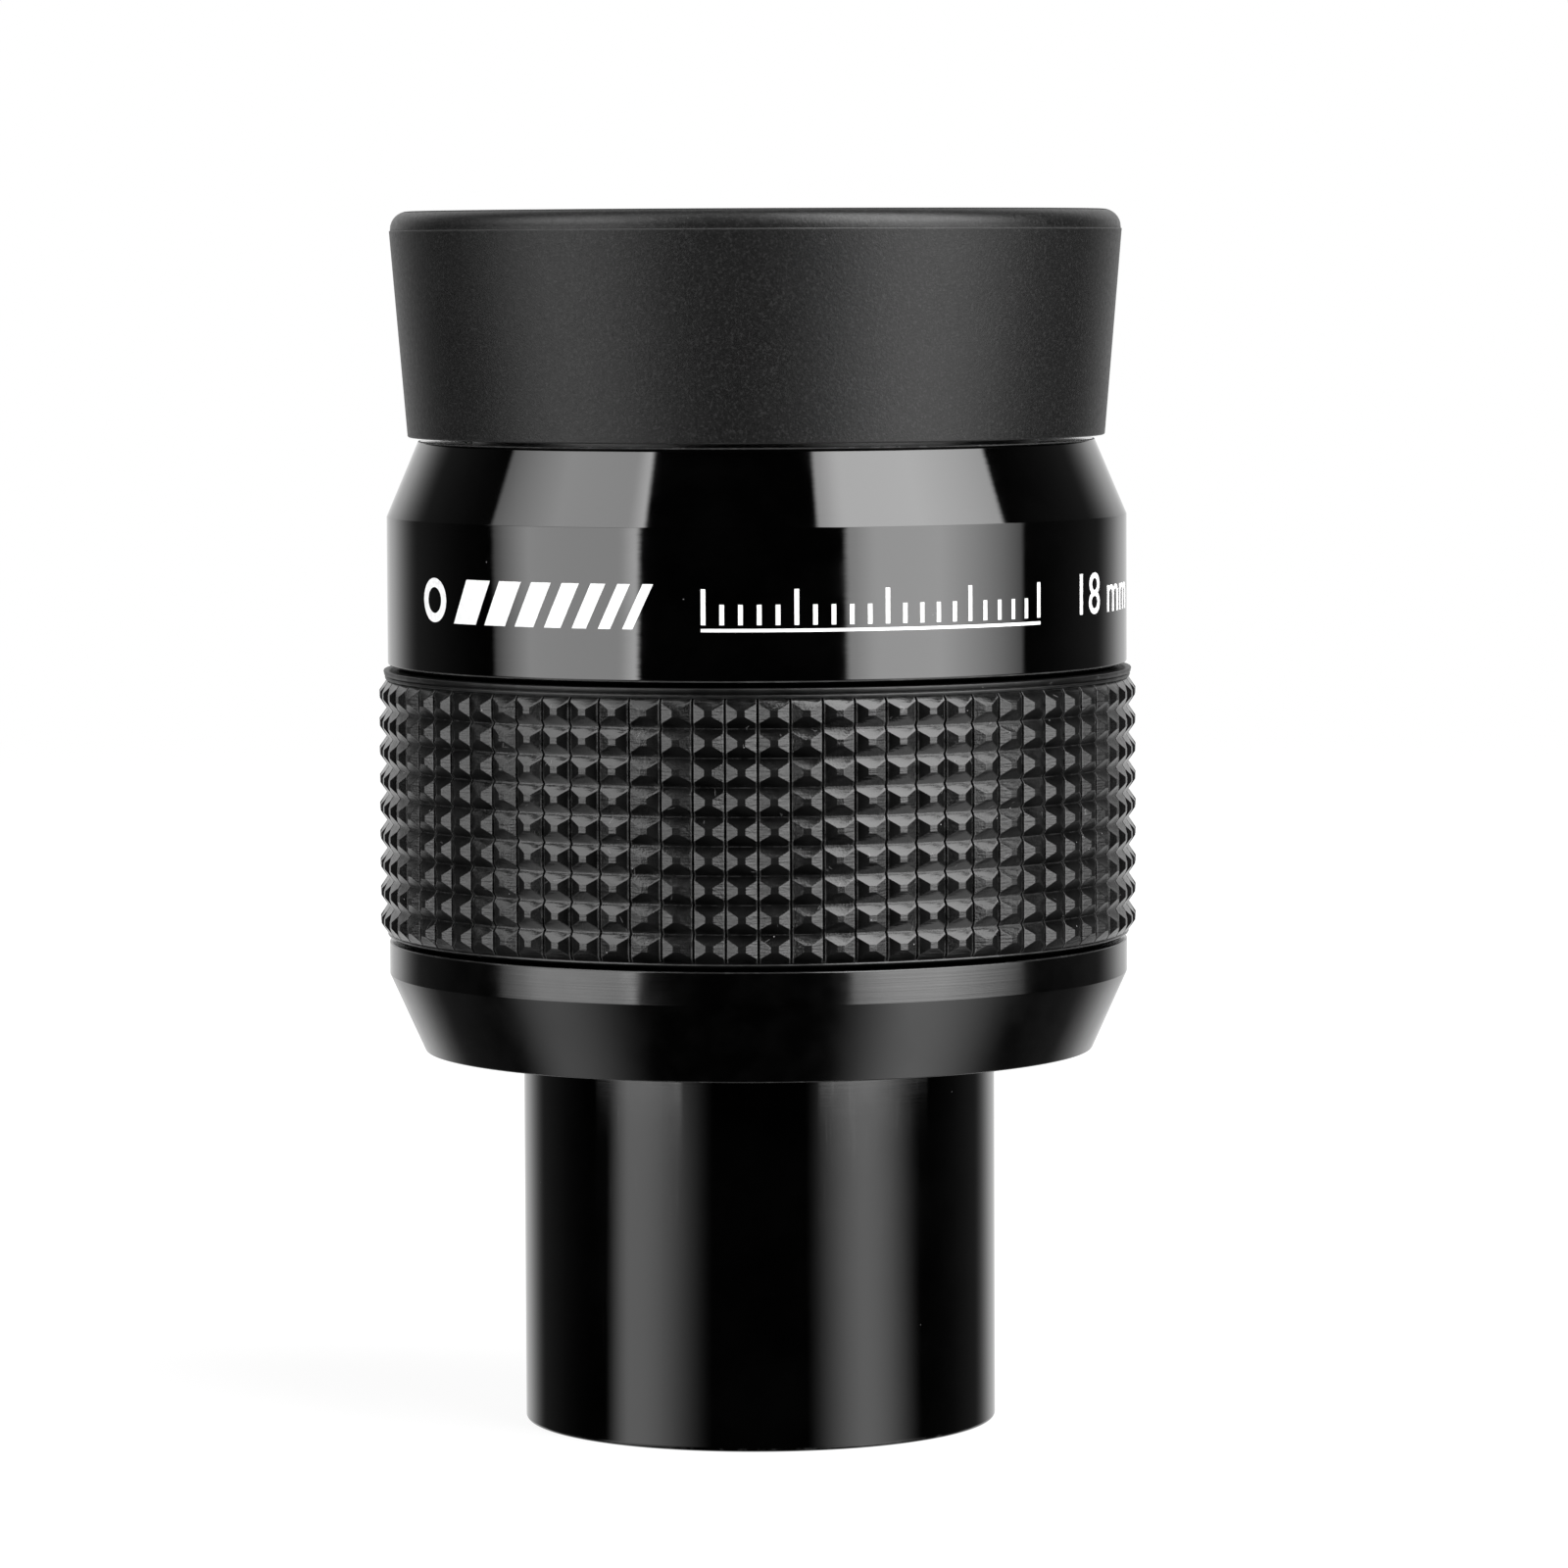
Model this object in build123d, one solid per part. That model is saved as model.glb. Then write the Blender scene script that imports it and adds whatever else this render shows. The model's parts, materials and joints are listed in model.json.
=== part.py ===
from build123d import *

import os
from math import cos, radians, sin, sqrt

# Telescope eyepiece for 1.25-inch focusers, with a twist-up eye cup.
#
# Frame: millimetres. The origin is on the optical axis, in the plane of the shoulder
# that rests on the focuser. +Z points to the eye. Heights are measured from the
# shoulder, so the barrel lies below zero. Radii are measured from the optical axis.

# ---------------------------------------------------------------- outer shape

BARREL_RADIUS = 15.85
BARREL_BOTTOM = -25.1
BARREL_EDGE_BREAK = 0.3

SHOULDER_RADIUS = 22.45
BAND_RADIUS = 24.8
BAND_BOTTOM = 5.2
BAND_TOP = 7.4

GRIP_BOTTOM = 7.6
GRIP_TOP = 25.6
GRIP_PEAK_RADIUS = 25.4
GRIP_VALLEY_RADIUS = 24.9
GRIP_LIP_RADIUS = 25.1
GRIP_LIP_HEIGHT = 0.66
KNURL_ROWS = 9
KNURL_COLUMNS = 75
KNURL_TOP = 24.94
KNURL_ROW_PITCH = 1.8875
KNURL_TIP_WIDTH = 0.42
KNURL_SLOT_WIDTH = 1.63  # across the peaks
KNURL_SLOT_FLOOR = 25.06  # radius of the slots' floor, which the rows' valleys lie below

SHELL_RADIUS = 24.8
SHELL_BOTTOM = 25.95
SHELL_CREASE = 35.85
SHELL_TOP = 40.9
SHELL_TOP_RADIUS = 22.65
SHELL_EDGE_BREAK = 0.2

CUP_BOTTOM = 41.15
CUP_TOP = 56.2
CUP_BOTTOM_RADIUS = 23.35
CUP_TOP_RADIUS = 24.5
CUP_RIM_ROUNDING = 1.3
CUP_LIP_RADIUS = 17.6
CUP_LIP_UNDERSIDE = 54.25

# ------------------------------------------------------- clearances and gaps

SLIP = 0.05  # radial gap of a part that only slips into place
RUNNING = 0.07  # radial gap of a part that turns or slides
CEMENT = 0.02  # gap that the cement fills in a doublet
CHAMFER = 0.3
OVERRUN = 1.0  # how far a cutter reaches past the surface it cuts

# ------------------------------------------------- housing, neck and shell

STEM_RADIUS = 22.2  # the lower housing's stem, inside the grip and the shell
STEM_TOP = 31.0
SPIGOT_RADIUS = 14.95  # the barrel's spigot, screwed into the lower housing
SPIGOT_TOP = 6.8
HOUSING_WEB_TOP = 8.5
HOUSING_WEB_HOLE = 12.6
LEDGE_RADIUS = 23.9  # raised seats that the grip is clamped between

NECK_RADIUS = 18.98
NECK_BORE = 17.05
NECK_TOP = 52.0
NECK_LIP_UNDERSIDE = 51.4
NECK_LIP_RADIUS = 15.3
NECK_FLANGE_TOP = 33.5
SHELL_CAVITY_RADIUS = 20.6
SHELL_WEB_BOTTOM = 38.9

# ------------------------------------------------------- twist-up mechanism

CUP_LIFT = 6.0
CUP_TURN = 100.0  # degrees for the full lift
PIN_COUNT = 3
PIN_RADIUS = 0.75
PIN_HEIGHT = 50.8
PIN_FIRST_ANGLE = 60.0
PIN_INNER_END = 17.15
PIN_OUTER_END = 20.9
DRIVER_SLOT_WIDTH = 0.3
DRIVER_SLOT_DEPTH = 0.4
SLOT_HALF_WIDTH = 0.85

SLEEVE_BORE = NECK_RADIUS + RUNNING
SLEEVE_RADIUS = 21.2
SLEEVE_BOTTOM = 41.2
SLEEVE_TOP = 54.2
COUNTERBORE_RADIUS = 20.15
COUNTERBORE_TOP = 43.35

KEY_COUNT = 3
KEYWAY_WIDTH = 2.0
KEYWAY_FLOOR = 18.08
KEYWAY_BOTTOM = 41.3
KEY_SIDE_GAP = 0.05
KEY_TIP_GAP = 0.1
KEY_ROOT = 0.3  # how far a key runs into its ring
GUIDE_RING_GAP = 0.1
GUIDE_RING_BOTTOM = 42.05
GUIDE_RING_TOP = 43.3
RETAINING_RING_TOP = 42.0

# ------------------------------------------------------------ main lens cell

TUBE_RADIUS = NECK_BORE - 2 * SLIP
TUBE_TOP = NECK_LIP_UNDERSIDE - SLIP
TUBE_SEAT = 16.0  # height of the ledge that the lens stack stands on
TUBE_SEAT_THICKNESS = 1.5
TUBE_SEAT_HOLE = 11.9
TUBE_BAFFLE_RADIUS = 12.6
UPPER_STEP_DROP = 0.3  # how far each step of the bore lies below the glass above it
EYE_STEP_DROP = 0.4

LOWER_LENS_RADIUS = 13.0
UPPER_LENS_RADIUS = 14.0
EYE_LENS_RADIUS = 15.0
SPACER_WALL = 1.1

LOWER_FLINT_EDGE = 4.8
LOWER_CEMENT_RISE = 3.0
LOWER_CROWN_EDGE = 2.0
LOWER_CROWN_RISE = 3.0

UPPER_CROWN_EDGE_BOTTOM = 28.3
UPPER_CROWN_EDGE = 1.6
UPPER_CROWN_DROP = 1.5
UPPER_CEMENT_RISE = 3.6
UPPER_FLINT_EDGE = 5.4

EYE_LENS_EDGE_BOTTOM = 44.9
EYE_LENS_EDGE = 2.8
EYE_LENS_DROP = 2.5
EYE_LENS_RISE = 1.2

EYE_RETAINER_TOP = 50.6
EYE_RETAINER_HOLE = 13.4
EYE_RETAINER_BEVEL = 1.0

SET_SCREW_COUNT = 3
SET_SCREW_RADIUS = 1.5
SET_SCREW_HEIGHT = 12.0
SET_SCREW_LENGTH = 4.4
SET_SCREW_SOCKET_RADIUS = 0.85
SET_SCREW_SOCKET_DEPTH = 1.4

# --------------------------------------------- field group inside the barrel

BARREL_BORE = 14.0
BARREL_LEDGE_BOTTOM = -13.0
BARREL_LEDGE_TOP = -12.0
BARREL_LEDGE_HOLE = 10.6
BAFFLE_BORE = 13.6
BAFFLE_TOP = -13.4
BAFFLE_GROOVE_DEPTH = 0.35
BAFFLE_GROOVE_PITCH = 1.0
BAFFLE_GROOVE_COUNT = 6
BAFFLE_GROOVES_BOTTOM = -19.6
FILTER_THREAD_BORE = 13.93
FILTER_THREAD_LENGTH = 4.5
THREAD_RELIEF_RADIUS = 14.3
THREAD_RELIEF_TOP = -19.8

CELL_BORE = 11.2
CELL_SEAT_TOP = -11.0
CELL_SEAT_HOLE = 10.3
CELL_TOP = 2.0

FIELD_LENS_RADIUS = 11.15
FIELD_CROWN_EDGE = 5.0
FIELD_CROWN_HOLLOW = 1.2
FIELD_CEMENT_DIP = 1.5
FIELD_FLINT_EDGE = 3.0
FIELD_FLINT_HOLLOW = 0.5
FIELD_RETAINER_HEIGHT = 2.2

FIELD_STOP_RADIUS = 10.2
FIELD_STOP_TOP = 3.2
FIELD_STOP_BEVEL = 1.0
LOCK_RING_TOP = 6.2
LOCK_RING_HOLE = 12.2

SPANNER_SLOT_WIDTH = 1.2
SPANNER_SLOT_DEPTH = 0.8


# -------------------------------------------------------------- shape helpers


def turned(*outline):
    """A turned part, from the (radius, height) corners of its half section."""
    with BuildPart() as part:
        with BuildSketch(Plane.XZ):
            with BuildLine():
                Polyline(*outline, close=True)
            make_face()
        revolve(axis=Axis.Z)
    return part.part


def tube(inner, outer, bottom, top):
    """A plain ring."""
    return turned((inner, bottom), (outer, bottom), (outer, top), (inner, top))


def dome_height(rim_radius, rise, radius):
    """Height above the rim of a spherical cap that rises by rise at its middle."""
    if rise == 0:
        return 0.0
    sphere = (rim_radius**2 + rise**2) / (2 * abs(rise))
    drop = sphere - sqrt(sphere**2 - radius**2)
    return rise - drop if rise > 0 else rise + drop


def lens(radius, edge_bottom, edge_top, bottom_rise=0.0, top_rise=0.0):
    """A round lens. Each rise is how far that face's middle stands above its edge."""
    half = radius / 2

    def face_curve(edge, rise):
        middle = (0, edge + rise)
        rim = (radius, edge)
        if rise == 0:
            return Line(middle, rim)
        return ThreePointArc(middle, (half, edge + dome_height(radius, rise, half)), rim)

    with BuildPart() as part:
        with BuildSketch(Plane.XZ):
            with BuildLine():
                face_curve(edge_bottom, bottom_rise)
                Line((radius, edge_bottom), (radius, edge_top))
                face_curve(edge_top, top_rise)
                Line((0, edge_top + top_rise), (0, edge_bottom + bottom_rise))
            make_face()
        revolve(axis=Axis.Z)
    return part.part


def around_axis(count, first_angle=0.0):
    """Angles in degrees of count places spread evenly round the optical axis."""
    return [first_angle + step * 360 / count for step in range(count)]


def radial_rod(radius, inner_end, outer_end, height, angle):
    """A round rod that points straight out from the optical axis."""
    foot = Vector(cos(radians(angle)), sin(radians(angle)), 0) * inner_end
    direction = Vector(cos(radians(angle)), sin(radians(angle)), 0)
    plane = Plane(origin=foot + Vector(0, 0, height), z_dir=direction)
    with BuildPart() as part:
        with BuildSketch(plane):
            Circle(radius)
        extrude(amount=outer_end - inner_end)
    return part.part


def spanner_slots(ring_outer_radius, top):
    """A bar that cuts two spanner slots across a ring's top face."""
    depth = 2 * SPANNER_SLOT_DEPTH
    length = 2 * (ring_outer_radius + OVERRUN)
    return Pos(0, 0, top) * Box(length, SPANNER_SLOT_WIDTH, depth)


# --------------------------------------------------------------- the housing


def make_nose_barrel():
    """The 1.25-inch barrel, with its filter thread, glare grooves and spigot."""
    thread_top = BARREL_BOTTOM + FILTER_THREAD_LENGTH
    grooves = []
    for index in range(BAFFLE_GROOVE_COUNT):
        low = BAFFLE_GROOVES_BOTTOM + index * BAFFLE_GROOVE_PITCH
        middle = low + BAFFLE_GROOVE_PITCH / 2
        grooves.append((BAFFLE_BORE, low))
        grooves.append((BAFFLE_BORE + BAFFLE_GROOVE_DEPTH, middle))
    return turned(
        (BARREL_RADIUS - BARREL_EDGE_BREAK, BARREL_BOTTOM),
        (BARREL_RADIUS, BARREL_BOTTOM + BARREL_EDGE_BREAK),
        (BARREL_RADIUS, 0),
        (SPIGOT_RADIUS, 0),
        (SPIGOT_RADIUS, SPIGOT_TOP - CHAMFER),
        (SPIGOT_RADIUS - CHAMFER, SPIGOT_TOP),
        (BARREL_BORE, SPIGOT_TOP),
        (BARREL_BORE, BARREL_LEDGE_TOP),
        (BARREL_LEDGE_HOLE, BARREL_LEDGE_TOP),
        (BARREL_LEDGE_HOLE, BARREL_LEDGE_BOTTOM),
        (BAFFLE_BORE, BARREL_LEDGE_BOTTOM),
        (BAFFLE_BORE, BAFFLE_TOP),
        *reversed(grooves),
        (BAFFLE_BORE, THREAD_RELIEF_TOP),
        (THREAD_RELIEF_RADIUS, THREAD_RELIEF_TOP),
        (THREAD_RELIEF_RADIUS, thread_top),
        (FILTER_THREAD_BORE, thread_top),
        (FILTER_THREAD_BORE, BARREL_BOTTOM + CHAMFER),
        (FILTER_THREAD_BORE + CHAMFER, BARREL_BOTTOM),
    )


def make_lower_housing():
    """The shoulder, cone and band, with the stem that carries everything above."""
    socket = SPIGOT_RADIUS + SLIP
    lead_in = BARREL_RADIUS + SLIP - socket  # leaves the barrel's full width free
    bore = TUBE_RADIUS + SLIP
    body = turned(
        (socket + lead_in, 0),
        (SHOULDER_RADIUS, 0),
        (BAND_RADIUS, BAND_BOTTOM),
        (BAND_RADIUS, BAND_TOP),
        (LEDGE_RADIUS, BAND_TOP),
        (LEDGE_RADIUS, GRIP_BOTTOM),
        (STEM_RADIUS, GRIP_BOTTOM),
        (STEM_RADIUS, STEM_TOP - CHAMFER),
        (STEM_RADIUS - CHAMFER, STEM_TOP),
        (bore, STEM_TOP),
        (bore, HOUSING_WEB_TOP),
        (HOUSING_WEB_HOLE, HOUSING_WEB_TOP),
        (HOUSING_WEB_HOLE, SPIGOT_TOP),
        (socket, SPIGOT_TOP),
        (socket, lead_in),
    )
    for angle in around_axis(SET_SCREW_COUNT):
        hole_radius = SET_SCREW_RADIUS + SLIP
        inner_end = bore - OVERRUN
        outer_end = STEM_RADIUS + OVERRUN
        body -= radial_rod(hole_radius, inner_end, outer_end, SET_SCREW_HEIGHT, angle)
    return body


def make_grip_sleeve():
    """The rubber grip: rows of ridges cut by upright V slots into small pyramids."""
    inner = STEM_RADIUS + SLIP
    lip_bottom = GRIP_TOP - GRIP_LIP_HEIGHT
    half_tip = KNURL_TIP_WIDTH / 2
    outline = [
        (inner, GRIP_TOP),
        (GRIP_LIP_RADIUS, GRIP_TOP),
        (GRIP_LIP_RADIUS, lip_bottom),
        (GRIP_VALLEY_RADIUS, lip_bottom),
    ]
    for row in range(KNURL_ROWS):
        centre = KNURL_TOP - (row + 0.5) * KNURL_ROW_PITCH
        outline.append((GRIP_PEAK_RADIUS, centre + half_tip))
        outline.append((GRIP_PEAK_RADIUS, centre - half_tip))
        outline.append((GRIP_VALLEY_RADIUS, centre - KNURL_ROW_PITCH / 2))
    outline.append((GRIP_VALLEY_RADIUS, GRIP_BOTTOM))
    outline.append((inner, GRIP_BOTTOM))

    knurl_bottom = KNURL_TOP - KNURL_ROWS * KNURL_ROW_PITCH
    past_peak = GRIP_PEAK_RADIUS + OVERRUN
    widening = (past_peak - KNURL_SLOT_FLOOR) / (GRIP_PEAK_RADIUS - KNURL_SLOT_FLOOR)
    half_width = widening * KNURL_SLOT_WIDTH / 2
    with BuildPart() as grip:
        add(turned(*outline))
        with BuildSketch(Plane.XY.offset(knurl_bottom)):
            with PolarLocations(0, KNURL_COLUMNS, start_angle=-90):
                Polygon(
                    (KNURL_SLOT_FLOOR, 0),
                    (past_peak, half_width),
                    (past_peak, -half_width),
                    align=None,
                )
        extrude(amount=lip_bottom - knurl_bottom, mode=Mode.SUBTRACT)
    return grip.part


def make_upper_shell():
    """The gloss shell that screws on the stem and clamps the grip and the neck."""
    bore = STEM_RADIUS + SLIP
    return turned(
        (bore, GRIP_TOP),
        (LEDGE_RADIUS, GRIP_TOP),
        (LEDGE_RADIUS, SHELL_BOTTOM),
        (SHELL_RADIUS - SHELL_EDGE_BREAK, SHELL_BOTTOM),
        (SHELL_RADIUS, SHELL_BOTTOM + SHELL_EDGE_BREAK),
        (SHELL_RADIUS, SHELL_CREASE),
        (SHELL_TOP_RADIUS, SHELL_TOP),
        (NECK_RADIUS + SLIP, SHELL_TOP),
        (NECK_RADIUS + SLIP, SHELL_WEB_BOTTOM),
        (SHELL_CAVITY_RADIUS, SHELL_WEB_BOTTOM),
        (SHELL_CAVITY_RADIUS, NECK_FLANGE_TOP),
        (bore, NECK_FLANGE_TOP),
    )


def make_neck_tube():
    """The tube that the eye cup runs on, with its keyways and pin holes."""
    neck = turned(
        (NECK_BORE, STEM_TOP),
        (STEM_RADIUS, STEM_TOP),
        (STEM_RADIUS, NECK_FLANGE_TOP),
        (NECK_RADIUS, NECK_FLANGE_TOP),
        (NECK_RADIUS, NECK_TOP - CHAMFER),
        (NECK_RADIUS - CHAMFER, NECK_TOP),
        (NECK_LIP_RADIUS, NECK_TOP),
        (NECK_LIP_RADIUS, NECK_LIP_UNDERSIDE),
        (NECK_BORE, NECK_LIP_UNDERSIDE),
    )
    length = NECK_TOP - KEYWAY_BOTTOM + OVERRUN
    depth = NECK_RADIUS - KEYWAY_FLOOR + OVERRUN
    for angle in around_axis(KEY_COUNT):
        centre = Pos(KEYWAY_FLOOR + depth / 2, 0, KEYWAY_BOTTOM + length / 2)
        neck -= Rot(0, 0, angle) * centre * Box(depth, KEYWAY_WIDTH, length)
    hole_radius = PIN_RADIUS + CEMENT
    for angle in around_axis(PIN_COUNT, PIN_FIRST_ANGLE):
        inner_end = NECK_BORE - OVERRUN
        outer_end = NECK_RADIUS + OVERRUN
        neck -= radial_rod(hole_radius, inner_end, outer_end, PIN_HEIGHT, angle)
    return neck


def make_tube_set_screws():
    """Three socket set screws that lock the lens tube, hidden under the grip."""
    screws = []
    outer_end = TUBE_RADIUS + SET_SCREW_LENGTH
    for angle in around_axis(SET_SCREW_COUNT):
        screw = radial_rod(SET_SCREW_RADIUS, TUBE_RADIUS + SLIP, outer_end, SET_SCREW_HEIGHT, angle)
        socket_floor = outer_end - SET_SCREW_SOCKET_DEPTH
        direction = Vector(cos(radians(angle)), sin(radians(angle)), 0)
        socket_plane = Plane(
            origin=direction * socket_floor + Vector(0, 0, SET_SCREW_HEIGHT), z_dir=direction
        )
        with BuildPart() as socket:
            with BuildSketch(socket_plane):
                RegularPolygon(SET_SCREW_SOCKET_RADIUS, 6)
            extrude(amount=SET_SCREW_SOCKET_DEPTH + OVERRUN)
        screws.append(screw - socket.part)
    return Compound(children=screws)


# ------------------------------------------------------- the twist-up eye cup


def make_guide_pins():
    """Three pins in the neck that run in the sleeve's helical slots."""
    pins = []
    driver = Box(2 * DRIVER_SLOT_DEPTH, 2 * PIN_RADIUS + OVERRUN, DRIVER_SLOT_WIDTH)
    for angle in around_axis(PIN_COUNT, PIN_FIRST_ANGLE):
        pin = radial_rod(PIN_RADIUS, PIN_INNER_END, PIN_OUTER_END, PIN_HEIGHT, angle)
        pins.append(pin - Rot(0, 0, angle) * Pos(PIN_OUTER_END, 0, PIN_HEIGHT) * driver)
    return Compound(children=pins)


def make_guide_ring():
    """A ring that travels with the cup. Its keys hold it from turning."""
    outer = COUNTERBORE_RADIUS - GUIDE_RING_GAP
    ring = tube(SLEEVE_BORE, outer, GUIDE_RING_BOTTOM, GUIDE_RING_TOP)
    height = GUIDE_RING_TOP - GUIDE_RING_BOTTOM
    key_inner = KEYWAY_FLOOR + KEY_TIP_GAP
    key_length = SLEEVE_BORE + KEY_ROOT - key_inner
    for angle in around_axis(KEY_COUNT):
        centre = Pos(key_inner + key_length / 2, 0, GUIDE_RING_BOTTOM + height / 2)
        key = Box(key_length, KEYWAY_WIDTH - 2 * KEY_SIDE_GAP, height)
        ring += Rot(0, 0, angle) * centre * key
    return ring


def make_cup_retaining_ring():
    """The thin ring under the guide ring, screwed into the cup's sleeve."""
    return tube(SLEEVE_BORE + SLIP, COUNTERBORE_RADIUS - SLIP, SLEEVE_BOTTOM, RETAINING_RING_TOP)


def helical_slot(start_angle):
    """The space one guide pin sweeps in the sleeve, from cup down to cup up."""
    middle_radius = (SLEEVE_BORE + SLEEVE_RADIUS) / 2
    depth = SLEEVE_RADIUS - SLEEVE_BORE + OVERRUN
    low_end = PIN_HEIGHT - CUP_LIFT
    pitch = CUP_LIFT * 360 / CUP_TURN
    path = Edge.make_helix(pitch, CUP_LIFT, middle_radius, center=(0, 0, low_end))
    section_plane = Plane(origin=path @ 0, x_dir=(1, 0, 0), z_dir=path % 0)
    with BuildPart() as slot:
        with BuildSketch(section_plane):
            Rectangle(depth, 2 * SLOT_HALF_WIDTH)
        sweep(path=path, is_frenet=True)
    swept = Rot(0, 0, start_angle - CUP_TURN) * slot.part
    inner = middle_radius - depth / 2
    outer = middle_radius + depth / 2
    high = radial_rod(SLOT_HALF_WIDTH, inner, outer, PIN_HEIGHT, start_angle)
    low = radial_rod(SLOT_HALF_WIDTH, inner, outer, low_end, start_angle - CUP_TURN)
    return [swept, high, low]


def make_eyecup_sleeve():
    """The rigid core of the eye cup, which turns and rises on the guide pins."""
    sleeve = turned(
        (COUNTERBORE_RADIUS, SLEEVE_BOTTOM),
        (SLEEVE_RADIUS, SLEEVE_BOTTOM),
        (SLEEVE_RADIUS, SLEEVE_TOP),
        (SLEEVE_BORE, SLEEVE_TOP),
        (SLEEVE_BORE, COUNTERBORE_TOP),
        (COUNTERBORE_RADIUS, COUNTERBORE_TOP),
    )
    for angle in around_axis(PIN_COUNT, PIN_FIRST_ANGLE):
        for cutter in helical_slot(angle):
            sleeve -= cutter
    return sleeve


def make_eyecup_rubber():
    """The tapered rubber cup with its rounded rim and inward lip."""
    inner = SLEEVE_RADIUS + SLIP
    rim_start = CUP_TOP - CUP_RIM_ROUNDING
    rim_end = CUP_TOP_RADIUS - CUP_RIM_ROUNDING
    lip_rounding = CUP_RIM_ROUNDING
    lip_top = CUP_TOP - lip_rounding
    diagonal = sin(radians(45))
    with BuildPart() as cup:
        with BuildSketch(Plane.XZ):
            with BuildLine():
                Line((CUP_BOTTOM_RADIUS, CUP_BOTTOM), (CUP_TOP_RADIUS, rim_start))
                ThreePointArc(
                    (CUP_TOP_RADIUS, rim_start),
                    (rim_end + CUP_RIM_ROUNDING * diagonal, rim_start + CUP_RIM_ROUNDING * diagonal),
                    (rim_end, CUP_TOP),
                )
                Line((rim_end, CUP_TOP), (CUP_LIP_RADIUS + lip_rounding, CUP_TOP))
                ThreePointArc(
                    (CUP_LIP_RADIUS + lip_rounding, CUP_TOP),
                    (
                        CUP_LIP_RADIUS + lip_rounding * (1 - diagonal),
                        lip_top + lip_rounding * diagonal,
                    ),
                    (CUP_LIP_RADIUS, lip_top),
                )
                Polyline(
                    (CUP_LIP_RADIUS, lip_top),
                    (CUP_LIP_RADIUS, CUP_LIP_UNDERSIDE),
                    (inner, CUP_LIP_UNDERSIDE),
                    (inner, CUP_BOTTOM),
                    (CUP_BOTTOM_RADIUS, CUP_BOTTOM),
                )
            make_face()
        revolve(axis=Axis.Z)
    return cup.part


# ------------------------------------------------------------ main lens group


def make_lens_tube():
    """The main cell, bored in steps so that every lens goes in from the eye end."""
    seat_bottom = TUBE_SEAT - TUBE_SEAT_THICKNESS
    upper_step = UPPER_CROWN_EDGE_BOTTOM - UPPER_STEP_DROP
    eye_step = EYE_LENS_EDGE_BOTTOM - EYE_STEP_DROP
    return turned(
        (TUBE_BAFFLE_RADIUS, HOUSING_WEB_TOP),
        (TUBE_RADIUS, HOUSING_WEB_TOP),
        (TUBE_RADIUS, TUBE_TOP),
        (EYE_LENS_RADIUS + SLIP, TUBE_TOP),
        (EYE_LENS_RADIUS + SLIP, eye_step),
        (UPPER_LENS_RADIUS + SLIP, eye_step),
        (UPPER_LENS_RADIUS + SLIP, upper_step),
        (LOWER_LENS_RADIUS + SLIP, upper_step),
        (LOWER_LENS_RADIUS + SLIP, TUBE_SEAT),
        (TUBE_SEAT_HOLE, TUBE_SEAT),
        (TUBE_SEAT_HOLE, seat_bottom),
        (TUBE_BAFFLE_RADIUS, seat_bottom),
    )


def make_lower_flint():
    """The flint of the lower cemented doublet, flat below and hollow above."""
    top = TUBE_SEAT + LOWER_FLINT_EDGE
    return lens(LOWER_LENS_RADIUS, TUBE_SEAT, top, 0, -LOWER_CEMENT_RISE)


def make_lower_crown():
    """The crown of the lower cemented doublet."""
    bottom = TUBE_SEAT + LOWER_FLINT_EDGE + CEMENT
    top = bottom + LOWER_CROWN_EDGE
    return lens(LOWER_LENS_RADIUS, bottom, top, -LOWER_CEMENT_RISE, LOWER_CROWN_RISE)


def make_middle_spacer():
    """The spacer between the two doublets. Its inner edges touch the glass."""
    inner = LOWER_LENS_RADIUS - SPACER_WALL
    crown_edge = TUBE_SEAT + LOWER_FLINT_EDGE + CEMENT + LOWER_CROWN_EDGE
    bottom = crown_edge + dome_height(LOWER_LENS_RADIUS, LOWER_CROWN_RISE, inner) + CEMENT
    touching = dome_height(UPPER_LENS_RADIUS, -UPPER_CROWN_DROP, inner)
    top = UPPER_CROWN_EDGE_BOTTOM + touching - CEMENT
    return tube(inner, LOWER_LENS_RADIUS, bottom, top)


def make_upper_crown():
    """The crown of the upper cemented doublet, the most curved lens."""
    bottom = UPPER_CROWN_EDGE_BOTTOM
    top = bottom + UPPER_CROWN_EDGE
    return lens(UPPER_LENS_RADIUS, bottom, top, -UPPER_CROWN_DROP, UPPER_CEMENT_RISE)


def make_upper_flint():
    """The flint of the upper cemented doublet, flat towards the eye."""
    bottom = UPPER_CROWN_EDGE_BOTTOM + UPPER_CROWN_EDGE + CEMENT
    return lens(UPPER_LENS_RADIUS, bottom, bottom + UPPER_FLINT_EDGE, UPPER_CEMENT_RISE, 0)


def make_eye_spacer():
    """The spacer between the upper doublet and the eye lens."""
    inner = UPPER_LENS_RADIUS - SPACER_WALL
    bottom = UPPER_CROWN_EDGE_BOTTOM + UPPER_CROWN_EDGE + CEMENT + UPPER_FLINT_EDGE + CEMENT
    touching = dome_height(EYE_LENS_RADIUS, -EYE_LENS_DROP, inner)
    return tube(inner, UPPER_LENS_RADIUS, bottom, EYE_LENS_EDGE_BOTTOM + touching - CEMENT)


def make_eye_lens():
    """The lens nearest the eye."""
    bottom = EYE_LENS_EDGE_BOTTOM
    return lens(EYE_LENS_RADIUS, bottom, bottom + EYE_LENS_EDGE, -EYE_LENS_DROP, EYE_LENS_RISE)


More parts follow.
